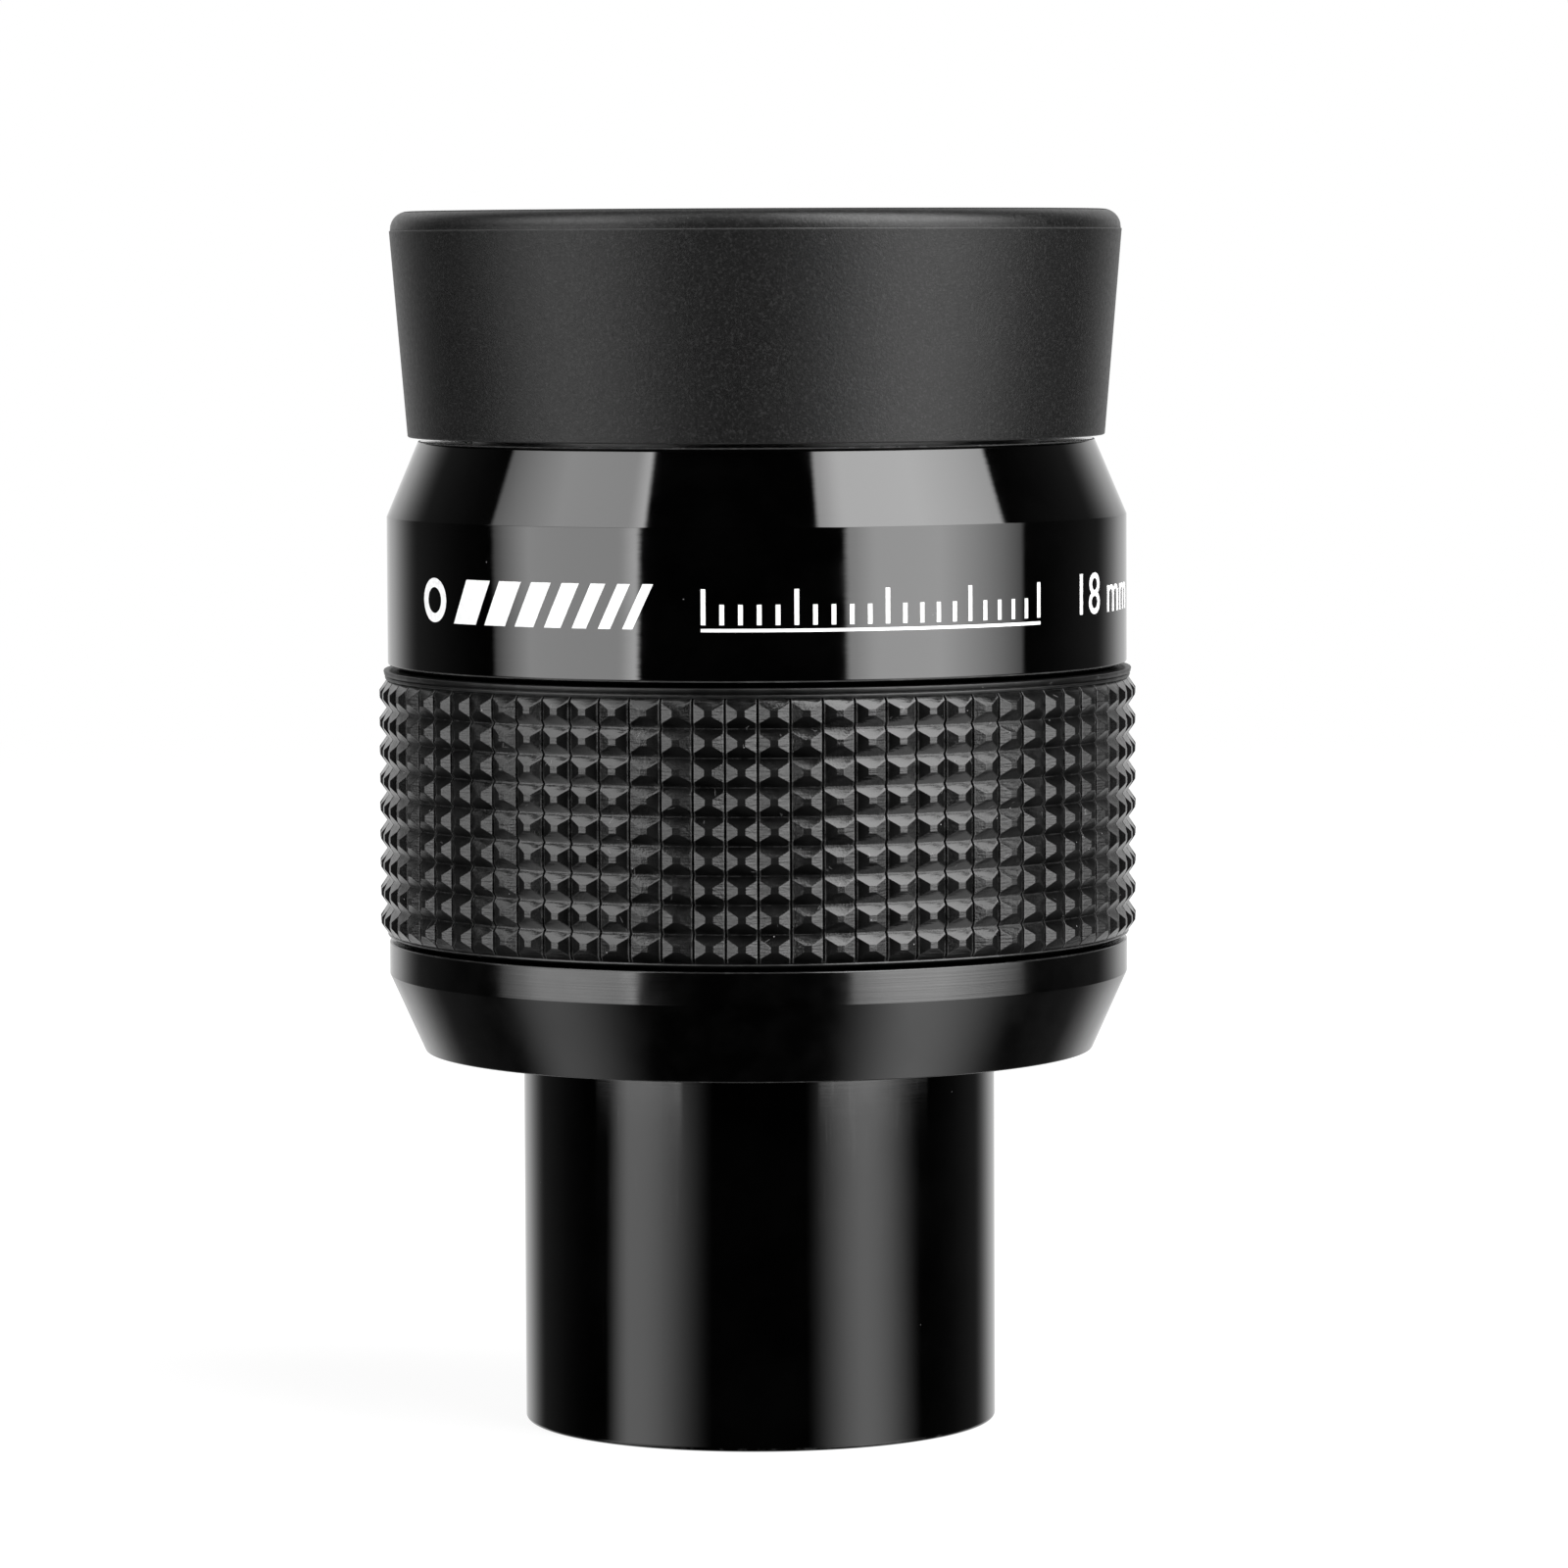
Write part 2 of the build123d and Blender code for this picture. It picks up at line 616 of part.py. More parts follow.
def make_eye_lens_retainer():
    """The threaded ring over the eye lens, bevelled, with two spanner slots."""
    edge_top = EYE_LENS_EDGE_BOTTOM + EYE_LENS_EDGE
    bottom = edge_top + dome_height(EYE_LENS_RADIUS, EYE_LENS_RISE, EYE_RETAINER_HOLE) + CEMENT
    ring = turned(
        (EYE_RETAINER_HOLE, bottom),
        (EYE_LENS_RADIUS, bottom),
        (EYE_LENS_RADIUS, EYE_RETAINER_TOP),
        (EYE_RETAINER_HOLE + EYE_RETAINER_BEVEL, EYE_RETAINER_TOP),
    )
    return ring - spanner_slots(EYE_LENS_RADIUS, EYE_RETAINER_TOP)


# ----------------------------------------------------------- field lens group


def make_field_cell():
    """The small cell in the barrel that holds the negative doublet."""
    outer = BARREL_BORE - SLIP
    return turned(
        (CELL_SEAT_HOLE, BARREL_LEDGE_TOP),
        (outer, BARREL_LEDGE_TOP),
        (outer, CELL_TOP),
        (CELL_BORE, CELL_TOP),
        (CELL_BORE, CELL_SEAT_TOP),
        (CELL_SEAT_HOLE, CELL_SEAT_TOP),
    )


def make_field_crown():
    """The hollow-faced lens nearest the telescope."""
    bottom = CELL_SEAT_TOP
    top = bottom + FIELD_CROWN_EDGE
    return lens(FIELD_LENS_RADIUS, bottom, top, FIELD_CROWN_HOLLOW, -FIELD_CEMENT_DIP)


def make_field_flint():
    """The second lens of the field doublet."""
    bottom = CELL_SEAT_TOP + FIELD_CROWN_EDGE + CEMENT
    top = bottom + FIELD_FLINT_EDGE
    return lens(FIELD_LENS_RADIUS, bottom, top, -FIELD_CEMENT_DIP, -FIELD_FLINT_HOLLOW)


def make_field_retainer():
    """The threaded ring that holds the field doublet in its cell."""
    bottom = CELL_SEAT_TOP + FIELD_CROWN_EDGE + CEMENT + FIELD_FLINT_EDGE + CEMENT
    top = bottom + FIELD_RETAINER_HEIGHT
    ring = tube(CELL_SEAT_HOLE, FIELD_LENS_RADIUS, bottom, top)
    return ring - spanner_slots(FIELD_LENS_RADIUS, top)


def make_field_stop():
    """The knife-edged ring that bounds the field of view."""
    outer = BARREL_BORE - SLIP
    return turned(
        (FIELD_STOP_RADIUS, CELL_TOP),
        (outer, CELL_TOP),
        (outer, FIELD_STOP_TOP),
        (FIELD_STOP_RADIUS + FIELD_STOP_BEVEL, FIELD_STOP_TOP),
    )


def make_field_lock_ring():
    """The threaded ring that clamps the field stop and cell in the barrel."""
    outer = BARREL_BORE - SLIP
    ring = tube(LOCK_RING_HOLE, outer, FIELD_STOP_TOP, LOCK_RING_TOP)
    return ring - spanner_slots(outer, LOCK_RING_TOP)


# --------------------------------------------------------------------- export

PIECES = {
    "nose_barrel": make_nose_barrel,
    "lower_housing": make_lower_housing,
    "grip_sleeve": make_grip_sleeve,
    "upper_shell": make_upper_shell,
    "neck_tube": make_neck_tube,
    "tube_set_screws": make_tube_set_screws,
    "guide_pins": make_guide_pins,
    "guide_ring": make_guide_ring,
    "cup_retaining_ring": make_cup_retaining_ring,
    "eyecup_sleeve": make_eyecup_sleeve,
    "eyecup_rubber": make_eyecup_rubber,
    "lens_tube": make_lens_tube,
    "lower_flint": make_lower_flint,
    "lower_crown": make_lower_crown,
    "middle_spacer": make_middle_spacer,
    "upper_crown": make_upper_crown,
    "upper_flint": make_upper_flint,
    "eye_spacer": make_eye_spacer,
    "eye_lens": make_eye_lens,
    "eye_lens_retainer": make_eye_lens_retainer,
    "field_cell": make_field_cell,
    "field_crown": make_field_crown,
    "field_flint": make_field_flint,
    "field_retainer": make_field_retainer,
    "field_stop": make_field_stop,
    "field_lock_ring": make_field_lock_ring,
}

os.makedirs("parts", exist_ok=True)
for name, make in PIECES.items():
    export_step(make(), f"parts/{name}.step")
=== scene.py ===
import json
from math import atan2, ceil, cos, pi, radians, sin, tan
from random import Random

import bmesh
import bpy
from mathutils import Matrix, Vector


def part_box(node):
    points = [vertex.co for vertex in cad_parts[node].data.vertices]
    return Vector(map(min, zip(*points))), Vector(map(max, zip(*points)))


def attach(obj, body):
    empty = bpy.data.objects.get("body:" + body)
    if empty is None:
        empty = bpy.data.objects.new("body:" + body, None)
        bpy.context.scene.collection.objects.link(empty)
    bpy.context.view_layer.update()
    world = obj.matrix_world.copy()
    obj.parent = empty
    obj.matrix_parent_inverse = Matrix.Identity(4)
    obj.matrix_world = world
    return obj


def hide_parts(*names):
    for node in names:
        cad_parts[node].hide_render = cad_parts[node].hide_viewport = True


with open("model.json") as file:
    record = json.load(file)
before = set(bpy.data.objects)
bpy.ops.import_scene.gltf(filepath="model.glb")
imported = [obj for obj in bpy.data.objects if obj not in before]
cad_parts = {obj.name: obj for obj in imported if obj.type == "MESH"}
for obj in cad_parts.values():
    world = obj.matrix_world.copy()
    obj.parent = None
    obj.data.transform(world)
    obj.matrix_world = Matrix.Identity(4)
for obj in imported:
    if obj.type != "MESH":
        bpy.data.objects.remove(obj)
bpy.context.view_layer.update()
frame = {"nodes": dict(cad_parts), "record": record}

# Looks of a telescope eyepiece with a twist-up eye cup.
#
# Blender works in metres. Sizes below are in millimetres, measured as in the CAD
# model: radii from the optical axis, heights from the shoulder, and the print faces -Y.
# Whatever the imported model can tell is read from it.

MM = 0.001


def radius_of(node):
    """Outer radius of a CAD node."""
    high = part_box(node)[1]
    return round(max(high.x, high.y) / MM, 3)


def bottom_of(node):
    """Height of a CAD node's underside."""
    return round(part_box(node)[0].z / MM, 3)


def top_of(node):
    """Height of a CAD node's top."""
    return round(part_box(node)[1].z / MM, 3)


FLOOR = bottom_of("nose_barrel")

# =============================================================== shader helpers


class Graph:
    """A node tree, with short calls for the nodes used here.

    Each call takes numbers, colours or sockets, and gives back the node's output."""

    def __init__(self, tree):
        self.tree = tree
        tree.nodes.clear()

    def node(self, kind, inputs=None, **settings):
        made = self.tree.nodes.new(kind)
        for name, value in settings.items():
            setattr(made, name, value)
        for name, value in (inputs or {}).items():
            if isinstance(value, bpy.types.NodeSocket):
                self.tree.links.new(value, made.inputs[name])
            else:
                made.inputs[name].default_value = value
        return made

    def math(self, operation, a, b=0.0, clamp=False):
        return self.node("ShaderNodeMath", {0: a, 1: b}, operation=operation, use_clamp=clamp).outputs[0]

    def ramp(self, value, low, high, to_low=0.0, to_high=1.0, smooth=True):
        """value from low to high becomes to_low to to_high, and stays there outside."""
        kind = "SMOOTHSTEP" if smooth else "LINEAR"
        inputs = {"Value": value, "From Min": low, "From Max": high, "To Min": to_low, "To Max": to_high}
        return self.node("ShaderNodeMapRange", inputs, interpolation_type=kind, clamp=True).outputs[0]

    def blend(self, factor, a, b):
        """A number that goes from a to b as factor goes from 0 to 1."""
        made = self.node("ShaderNodeMix", {0: factor, 2: a, 3: b}, data_type="FLOAT")
        return made.outputs[0]

    def mix_colour(self, factor, a, b):
        made = self.node("ShaderNodeMix", data_type="RGBA")
        for index, value in ((0, factor), (6, a), (7, b)):
            if isinstance(value, bpy.types.NodeSocket):
                self.tree.links.new(value, made.inputs[index])
            else:
                made.inputs[index].default_value = value
        return made.outputs[2]

    def noise(self, vector, scale, detail=2.0, roughness=0.5):
        inputs = {"Vector": vector, "Scale": scale, "Detail": detail, "Roughness": roughness}
        return self.node("ShaderNodeTexNoise", inputs).outputs["Fac"]

    def xyz(self, vector):
        return self.node("ShaderNodeSeparateXYZ", {0: vector}).outputs

    def vector(self, x, y, z):
        return self.node("ShaderNodeCombineXYZ", {0: x, 1: y, 2: z}).outputs[0]


def grey(value, alpha=1.0):
    """A neutral colour."""
    return (value, value, value, alpha)


# ======================================================================= studio

# The camera, as the object is seen: a little above the middle, from half a metre.
CAMERA_DISTANCE = 492.0
CAMERA_HEIGHT = 53.3
CAMERA_PITCH = -4.14
CAMERA_YAW = -0.2045
CAMERA_ROLL = -0.25
CAMERA_LENS = 168.3
CAMERA_SENSOR = 36.0

# The two softboxes stand front left and front right, and the table mirrors them dimly
# and softly. Directions are in degrees, as the object sees them: azimuths from straight
# ahead (-Y), and heights above the horizon. A side of a softbox is given by its azimuth
# at the horizon and by how far it moves per degree above it and per degree below it.
# A mirrored side is given by its azimuth, its move per degree below the horizon, half
# the width of its soft edge, and how much wider that gets per degree. Each softbox is
# two panels, one above the other, with a dim gap between them.
SOFTBOX_LEFT = {
    "inner": (35.1, 0.13, 0.53),
    "outer": (90.5, 0.27, -0.6),
    "light": (6.3, 6.9),  # at the horizon and high up
    "gap": (7.0, 21.0),
    "upper": 0.5,  # share of light near the top
    "glow": 4.0,  # added along the inner side
    "dip": 1.0,  # share of light at the inner side
    "fade_width": (14.5, 28.0),  # how far it fades towards the outer side, low and high
    "fade": (0.15, 0.35),  # share of light left there, low and high
    "mirrored_inner": (37.8, 0.52, 20.0, 0.0),
    "mirrored_outer": (68.6, 0.61, 6.7, 0.16),
    "mirrored_light": (1.45, 3.05),  # from steep and from flat directions
}
SOFTBOX_RIGHT = {
    "inner": (26.0, -0.09, 0.5),
    "outer": (90.0, 0.03, 0.0),
    "light": (9.0, 12.4),
    "gap": (11.0, 19.0),
    "upper": 1.0,
    "glow": 0.0,
    "dip": 0.66,
    "fade_width": (32.0, 32.0),
    "fade": (0.15, 0.7),
    "mirrored_inner": (35.6, 0.18, 15.0, 0.05),
    "mirrored_outer": (65.1, 0.49, 15.0, 0.24),
    "mirrored_light": (2.8, 3.15),
}
SOFTBOX_TOP = (76.0, 86.0)  # where a softbox ends
SOFTBOX_SHARE = (46.0, 56.0)  # from here up it keeps its upper share of light
GAP_EDGE = 1.0
GAP_LIGHT = 0.05
SOFTBOX_HIGH = 38.0
SOFTBOX_EDGE = 1.2
GLOW_WIDTH = 7.0
DIP_WIDTH = 11.0
TABLE_LINE = (-6.4, -6.0)  # below it the softboxes are seen mirrored
MIRROR_STEEP = -45.0
MIRROR_FADE = (-60.0, -48.0)

# The white backdrop behind the object, by angle from straight behind.
BACKDROP_FADE = (24.0, 50.0)
BACKDROP_TOP = (40.0, 75.0)
BACKDROP_LIGHT = 1.0
ROOM_FADE = (40.0, 95.0)
ROOM_LIGHT = 0.1


def make_camera():
    data = bpy.data.cameras.new("camera")
    data.lens = CAMERA_LENS
    data.sensor_width = CAMERA_SENSOR
    data.clip_start = 0.01
    camera = bpy.data.objects.new("camera", data)
    bpy.context.scene.collection.objects.link(camera)
    turn = Matrix.Rotation(radians(CAMERA_YAW), 4, "Z")
    tilt = Matrix.Rotation(radians(90 + CAMERA_PITCH), 4, "X")
    roll = Matrix.Rotation(radians(CAMERA_ROLL), 4, "Z")
    place = Matrix.Translation(Vector((0, -CAMERA_DISTANCE, CAMERA_HEIGHT)) * MM)
    camera.matrix_world = place @ turn @ tilt @ roll
    bpy.context.scene.camera = camera


def softbox(g, azimuth, height, box):
    """Light that comes from one softbox, for a direction given in degrees."""
    above = g.math("MAXIMUM", height, 0.0)
    below = g.math("MAXIMUM", g.math("MULTIPLY", height, -1.0), 0.0)

    def past(side):
        """How far the direction lies past a side of the softbox, in degrees."""
        place, rising, sinking = box[side]
        moved = g.math("ADD", g.math("MULTIPLY", above, rising), g.math("MULTIPLY", below, sinking))
        return g.math("SUBTRACT", g.math("SUBTRACT", azimuth, place), moved)

    def past_mirrored(side):
        """0 to 1 across the soft edge of a mirrored side."""
        place, sinking, half_width, widening = box[side]
        off = g.math("SUBTRACT", g.math("SUBTRACT", azimuth, place), g.math("MULTIPLY", below, sinking))
        half = g.math("ADD", g.math("MULTIPLY", below, widening), half_width)
        return g.ramp(off, g.math("MULTIPLY", half, -1.0), half)

    high_up = g.ramp(height, 0.0, SOFTBOX_HIGH, smooth=False)
    from_inner = past("inner")
    from_outer = past("outer")
    light = g.blend(high_up, *box["light"])
    light = g.math("MULTIPLY", light, g.ramp(from_inner, 0.0, DIP_WIDTH, box["dip"], 1.0))
    light = g.math("ADD", light, g.ramp(from_inner, 0.0, GLOW_WIDTH, box["glow"], 0.0))
    fade_from = g.math("MULTIPLY", g.blend(high_up, *box["fade_width"]), -1.0)
    left_over = g.blend(high_up, *box["fade"])
    light = g.math("MULTIPLY", light, g.ramp(from_outer, fade_from, 0.0, 1.0, left_over, smooth=False))
    light = g.math("MULTIPLY", light, g.ramp(from_inner, -SOFTBOX_EDGE, SOFTBOX_EDGE))
    light = g.math("MULTIPLY", light, g.ramp(from_outer, -SOFTBOX_EDGE, SOFTBOX_EDGE, 1.0, 0.0))
    light = g.math("MULTIPLY", light, g.ramp(height, *SOFTBOX_SHARE, 1.0, box["upper"]))
    light = g.math("MULTIPLY", light, g.ramp(height, *SOFTBOX_TOP, 1.0, 0.0))
    bottom, top = box["gap"]
    over_bottom = g.ramp(height, bottom, bottom + GAP_EDGE)
    in_gap = g.math("MULTIPLY", over_bottom, g.ramp(height, top - GAP_EDGE, top, 1.0, 0.0))
    light = g.math("MULTIPLY", light, g.ramp(in_gap, 0.0, 1.0, 1.0, GAP_LIGHT, smooth=False))

    steep, flat = box["mirrored_light"]
    shine = g.ramp(height, MIRROR_STEEP, TABLE_LINE[0], steep, flat, smooth=False)
    shine = g.math("MULTIPLY", shine, g.ramp(height, *MIRROR_FADE))
    shine = g.math("MULTIPLY", shine, past_mirrored("mirrored_inner"))
    shine = g.math("MULTIPLY", shine, g.math("SUBTRACT", 1.0, past_mirrored("mirrored_outer")))
    return g.blend(g.ramp(height, *TABLE_LINE, smooth=False), shine, light)


def make_lights():
    """The studio as a world: two softboxes in front and a white backdrop behind."""
    world = bpy.data.worlds.new("studio")
    bpy.context.scene.world = world
    world.use_nodes = True
    g = Graph(world.node_tree)
    direction = g.xyz(g.node("ShaderNodeTexCoord").outputs["Generated"])
    ahead = g.math("MULTIPLY", direction[1], -1.0)
    azimuth = g.math("DEGREES", g.math("ARCTAN2", direction[0], ahead))
    height = g.math("DEGREES", g.math("ARCSINE", direction[2]))
    to_left = g.math("MULTIPLY", azimuth, -1.0)
    left = softbox(g, to_left, height, SOFTBOX_LEFT)
    right = softbox(g, azimuth, height, SOFTBOX_RIGHT)
    from_behind = g.math("SUBTRACT", 180.0, g.math("ABSOLUTE", azimuth))
    backdrop = g.ramp(from_behind, *BACKDROP_FADE, BACKDROP_LIGHT, 0.0)
    backdrop = g.math("MULTIPLY", backdrop, g.ramp(height, *BACKDROP_TOP, 1.0, 0.0))
    room = g.ramp(from_behind, *ROOM_FADE, ROOM_LIGHT, 0.0)
    light = g.math("ADD", g.math("ADD", left, right), g.math("ADD", backdrop, room))
    lit = g.node("ShaderNodeBackground", {"Strength": light}).outputs[0]
    seen = g.node("ShaderNodeBackground", {"Strength": 1.0, "Color": grey(1.0)}).outputs[0]
    is_camera = g.node("ShaderNodeLightPath").outputs["Is Camera Ray"]
    shown = g.node("ShaderNodeMixShader", {0: is_camera, 1: lit, 2: seen}).outputs[0]
    g.node("ShaderNodeOutputWorld", {"Surface": shown})
    bpy.context.scene.view_settings.view_transform = "Standard"


FLOOR_RADIUS = 6000.0
FLOOR_MATT = 0.1  # share of the floor's white that takes shadows
FLOOR_GLOW = 0.89
FLOOR_PLAIN_FROM = 150.0  # from here outwards the floor fades into the backdrop's white
FLOOR_PLAIN_TO = 700.0


def make_floor():
    """A plain pale floor, which fades into the white backdrop."""
    mesh = bpy.data.meshes.new("floor")
    maker = bmesh.new()
    bmesh.ops.create_circle(maker, cap_ends=True, segments=128, radius=FLOOR_RADIUS * MM)
    maker.to_mesh(mesh)
    maker.free()
    floor = bpy.data.objects.new("floor", mesh)
    floor.location.z = FLOOR * MM
    bpy.context.scene.collection.objects.link(floor)
    floor.visible_glossy = False
    floor.visible_shadow = False
    material = bpy.data.materials.new("pale_floor")
    material.use_nodes = True
    g = Graph(material.node_tree)
    place = g.node("ShaderNodeTexCoord").outputs["Object"]
    distance = g.node("ShaderNodeVectorMath", {0: place}, operation="LENGTH").outputs["Value"]
    plain = g.ramp(distance, FLOOR_PLAIN_FROM * MM, FLOOR_PLAIN_TO * MM)
    matt = g.node("ShaderNodeBsdfDiffuse", {"Color": grey(FLOOR_MATT)}).outputs[0]
    glow = g.node("ShaderNodeEmission", {"Color": grey(1.0), "Strength": FLOOR_GLOW}).outputs[0]
    near = g.node("ShaderNodeAddShader", {0: matt, 1: glow}).outputs[0]
    far = g.node("ShaderNodeEmission", {"Color": grey(1.0), "Strength": 1.0}).outputs[0]
    top = g.node("ShaderNodeMixShader", {0: plain, 1: near, 2: far}).outputs[0]
    clear = g.node("ShaderNodeBsdfTransparent").outputs[0]
    from_below = g.node("ShaderNodeNewGeometry").outputs["Backfacing"]
    shown = g.node("ShaderNodeMixShader", {0: from_below, 1: top, 2: clear}).outputs[0]
    g.node("ShaderNodeOutputMaterial", {"Surface": shown})
    mesh.materials.append(material)


# ==================================================================== materials


class Surface(Graph):
    """A material around one Principled shader, with the patterns the eyepiece needs."""

    def __init__(self, name, **constants):
        self.material = bpy.data.materials.new(name)
        self.material.use_nodes = True
        super().__init__(self.material.node_tree)
        self.shader = self.node("ShaderNodeBsdfPrincipled", constants)
        self.node("ShaderNodeOutputMaterial", {"Surface": self.shader.outputs[0]})
        self.place = self.node("ShaderNodeTexCoord").outputs["Object"]
        self.bump_normal = None

    def link(self, name, socket):
        self.tree.links.new(socket, self.shader.inputs[name])

    def bump(self, pattern, depth, strength=1.0):
        """Raises the surface by pattern times depth, in millimetres, over earlier bumps."""
        inputs = {"Height": pattern, "Distance": depth * MM, "Strength": strength}
        if self.bump_normal is not None:
            inputs["Normal"] = self.bump_normal
        self.bump_normal = self.node("ShaderNodeBump", inputs).outputs[0]
        self.link("Normal", self.bump_normal)

    def grain(self, size, detail=2.0, roughness=0.5):
        """Even noise with features of this size in millimetres."""
        return self.noise(self.place, 1 / (size * MM), detail, roughness)

    def length(self, a, b):
        """Length of a line that goes a one way and b across it."""
        return self.math("SQRT", self.math("ADD", self.math("MULTIPLY", a, a), self.math("MULTIPLY", b, b)))

    def turned_marks(self, spacing, length=6.0):
        """Fine rings round the optical axis, as a lathe tool leaves them."""
        x, y, z = self.xyz(self.place)
        angle = self.math("ARCTAN2", y, x)
        fine = 1 / (spacing * MM)
        along = self.math("MULTIPLY", angle, length)
        across = self.math("MULTIPLY", self.length(x, y), fine)
        up = self.math("MULTIPLY", z, fine)
        return self.noise(self.vector(across, up, along), 1.0, 3.0, 0.6)

    def specks(self, spacing, size, share):
        """Round specks, one in some of the cells that lie spacing apart."""
        cells = self.node("ShaderNodeTexVoronoi", {"Vector": self.place, "Scale": 1 / (spacing * MM)})
        chosen = self.math("LESS_THAN", self.xyz(cells.outputs["Color"])[0], share)
        # the distance is counted in cells
        near = self.ramp(cells.outputs["Distance"], 0.5 * size / spacing, size / spacing, 1.0, 0.0)
        return self.math("MULTIPLY", near, chosen)

    def scratches(self, spacing, width, share):
        """Short hair-thin scratches: cells of a stretched pattern, a few of them marked."""
        x, y, z = self.xyz(self.place)
        drift = self.math("MULTIPLY", self.grain(9.0, 1.0), 2 * MM)
        bent = self.math("ADD", drift, z)
        lines = self.node("ShaderNodeTexVoronoi",
                          {"Vector": self.vector(x, y, bent), "Scale": 1 / (spacing * MM)},
                          feature="DISTANCE_TO_EDGE").outputs["Distance"]
        thin = self.ramp(lines, 0.0, width / spacing, 1.0, 0.0)
        marked = self.ramp(self.grain(spacing * 0.4, 1.0), 1 - share, 1 - share + 0.05)
        return self.math("MULTIPLY", thin, marked)

    def edge_wear_and_highlight(self, corners, width, evenness=0.0):
        """1 along the edges at these corners, each a radius and a height, broken up unevenly. It marks edge
        wear, and on the shell a painted highlight.
        """
        x, y, z = self.xyz(self.place)
        from_axis = self.length(x, y)
        worn = 0.0
        for radius, height in corners:
            across = self.math("SUBTRACT", from_axis, radius * MM)
            up = self.math("SUBTRACT", z, height * MM)
            off = self.length(across, up)
            worn = self.math("ADD", worn, self.ramp(off, 0.3 * width * MM, width * MM, 1.0, 0.0))
        patches = self.ramp(self.grain(1.6, 3.0, 0.7), 0.46, 0.68, evenness, 1.0)
        return self.math("MULTIPLY", worn, patches, clamp=True)

    def paint(self, base, *layers):
        """Base colour with layers (mask, colour) over it."""
        colour = base
        for mask, over in layers:
            colour = self.mix_colour(mask, colour, over)
        self.link("Base Color", colour)


BLACK = {"Base Color": grey(0.0004), "IOR": 1.5}


def gloss_shell():
    s = Surface("shell_black", **BLACK)
    smear = s.grain(5.0, 4.0, 0.62)
    fine = s.turned_marks(0.35, 1.5)
    dust = s.specks(spacing=1.6, size=0.055, share=0.09)
    edges = ((SHELL_RADIUS, SHELL_BOTTOM), (SHELL_TOP_RADIUS, SHELL_TOP))
    # a painted highlight: a light grey line along the shell's bottom and top edges, in patches
    edge = s.edge_wear_and_highlight(edges, width=0.14, evenness=0.6)
    tone = s.mix_colour(s.ramp(smear, 0.35, 0.7), grey(0.0002), grey(0.0005))
    s.paint(tone, (dust, grey(0.12)), (edge, grey(0.11)))
    rough = s.ramp(smear, 0.35, 0.7, 0.035, 0.075, smooth=False)
    rough = s.math("ADD", rough, s.math("MULTIPLY", s.math("ADD", dust, edge), 0.25))
    s.link("Roughness", rough)
    s.bump(fine, 0.0016)
    s.bump(s.grain(3.2, 2.0), 0.0022)
    return s.material


def satin_housing():
    s = Surface("housing_black", **BLACK)
    z = s.xyz(s.place)[2]
    on_band = s.ramp(z, (BAND_BOTTOM - 0.1) * MM, (BAND_BOTTOM + 0.05) * MM)
    marks = s.turned_marks(0.12, 2.0)
    dust = s.specks(spacing=1.7, size=0.05, share=0.08)
    edge = s.edge_wear_and_highlight(((SHOULDER_RADIUS, 0.0), (SHELL_RADIUS, BAND_TOP)), width=0.12, evenness=0.5)
    tone = s.mix_colour(s.ramp(s.grain(2.0, 4.0), 0.35, 0.7), grey(0.0003), grey(0.0008))
    s.paint(tone, (dust, grey(0.1)), (edge, grey(0.03)))
    base = s.ramp(on_band, 0.0, 1.0, 0.14, 0.1, smooth=False)
    rough = s.math("ADD", base, s.ramp(s.grain(4.0, 4.0), 0.35, 0.7, -0.02, 0.04))
    rough = s.math("ADD", rough, s.math("MULTIPLY", s.math("ADD", dust, edge), 0.2))
    s.link("Roughness", rough)
    s.bump(marks, 0.0012)
    return s.material


def smooth_barrel():
    s = Surface("barrel_black", **BLACK)
    x, y, z = s.xyz(s.place)
    # faint lengthwise rubbing, from sliding in and out of focusers
    stretched = s.vector(x, y, s.math("MULTIPLY", z, 0.04))
    rubbing = s.noise(stretched, 1 / (0.22 * MM), 3.0, 0.6)
    smear = s.grain(6.0, 4.0, 0.6)
    dust = s.specks(spacing=2.1, size=0.05, share=0.07)
    edges = ((BARREL_RADIUS, BARREL_BOTTOM), (THREAD_BORE + THREAD_LEAD_IN, BARREL_BOTTOM))
    edge = s.edge_wear_and_highlight(edges, width=0.3)
    tone = s.mix_colour(s.ramp(smear, 0.35, 0.7), grey(0.0002), grey(0.0005))
    s.paint(tone, (dust, grey(0.1)), (edge, grey(0.025)))
    rough = s.ramp(smear, 0.3, 0.7, 0.035, 0.06, smooth=False)
    rough = s.math("ADD", rough, s.ramp(rubbing, 0.55, 0.8, 0.0, 0.04))
    s.link("Roughness", rough)
    s.bump(rubbing, 0.0004)
    s.bump(s.turned_marks(0.1, 2.0), 0.0003)
    return s.material


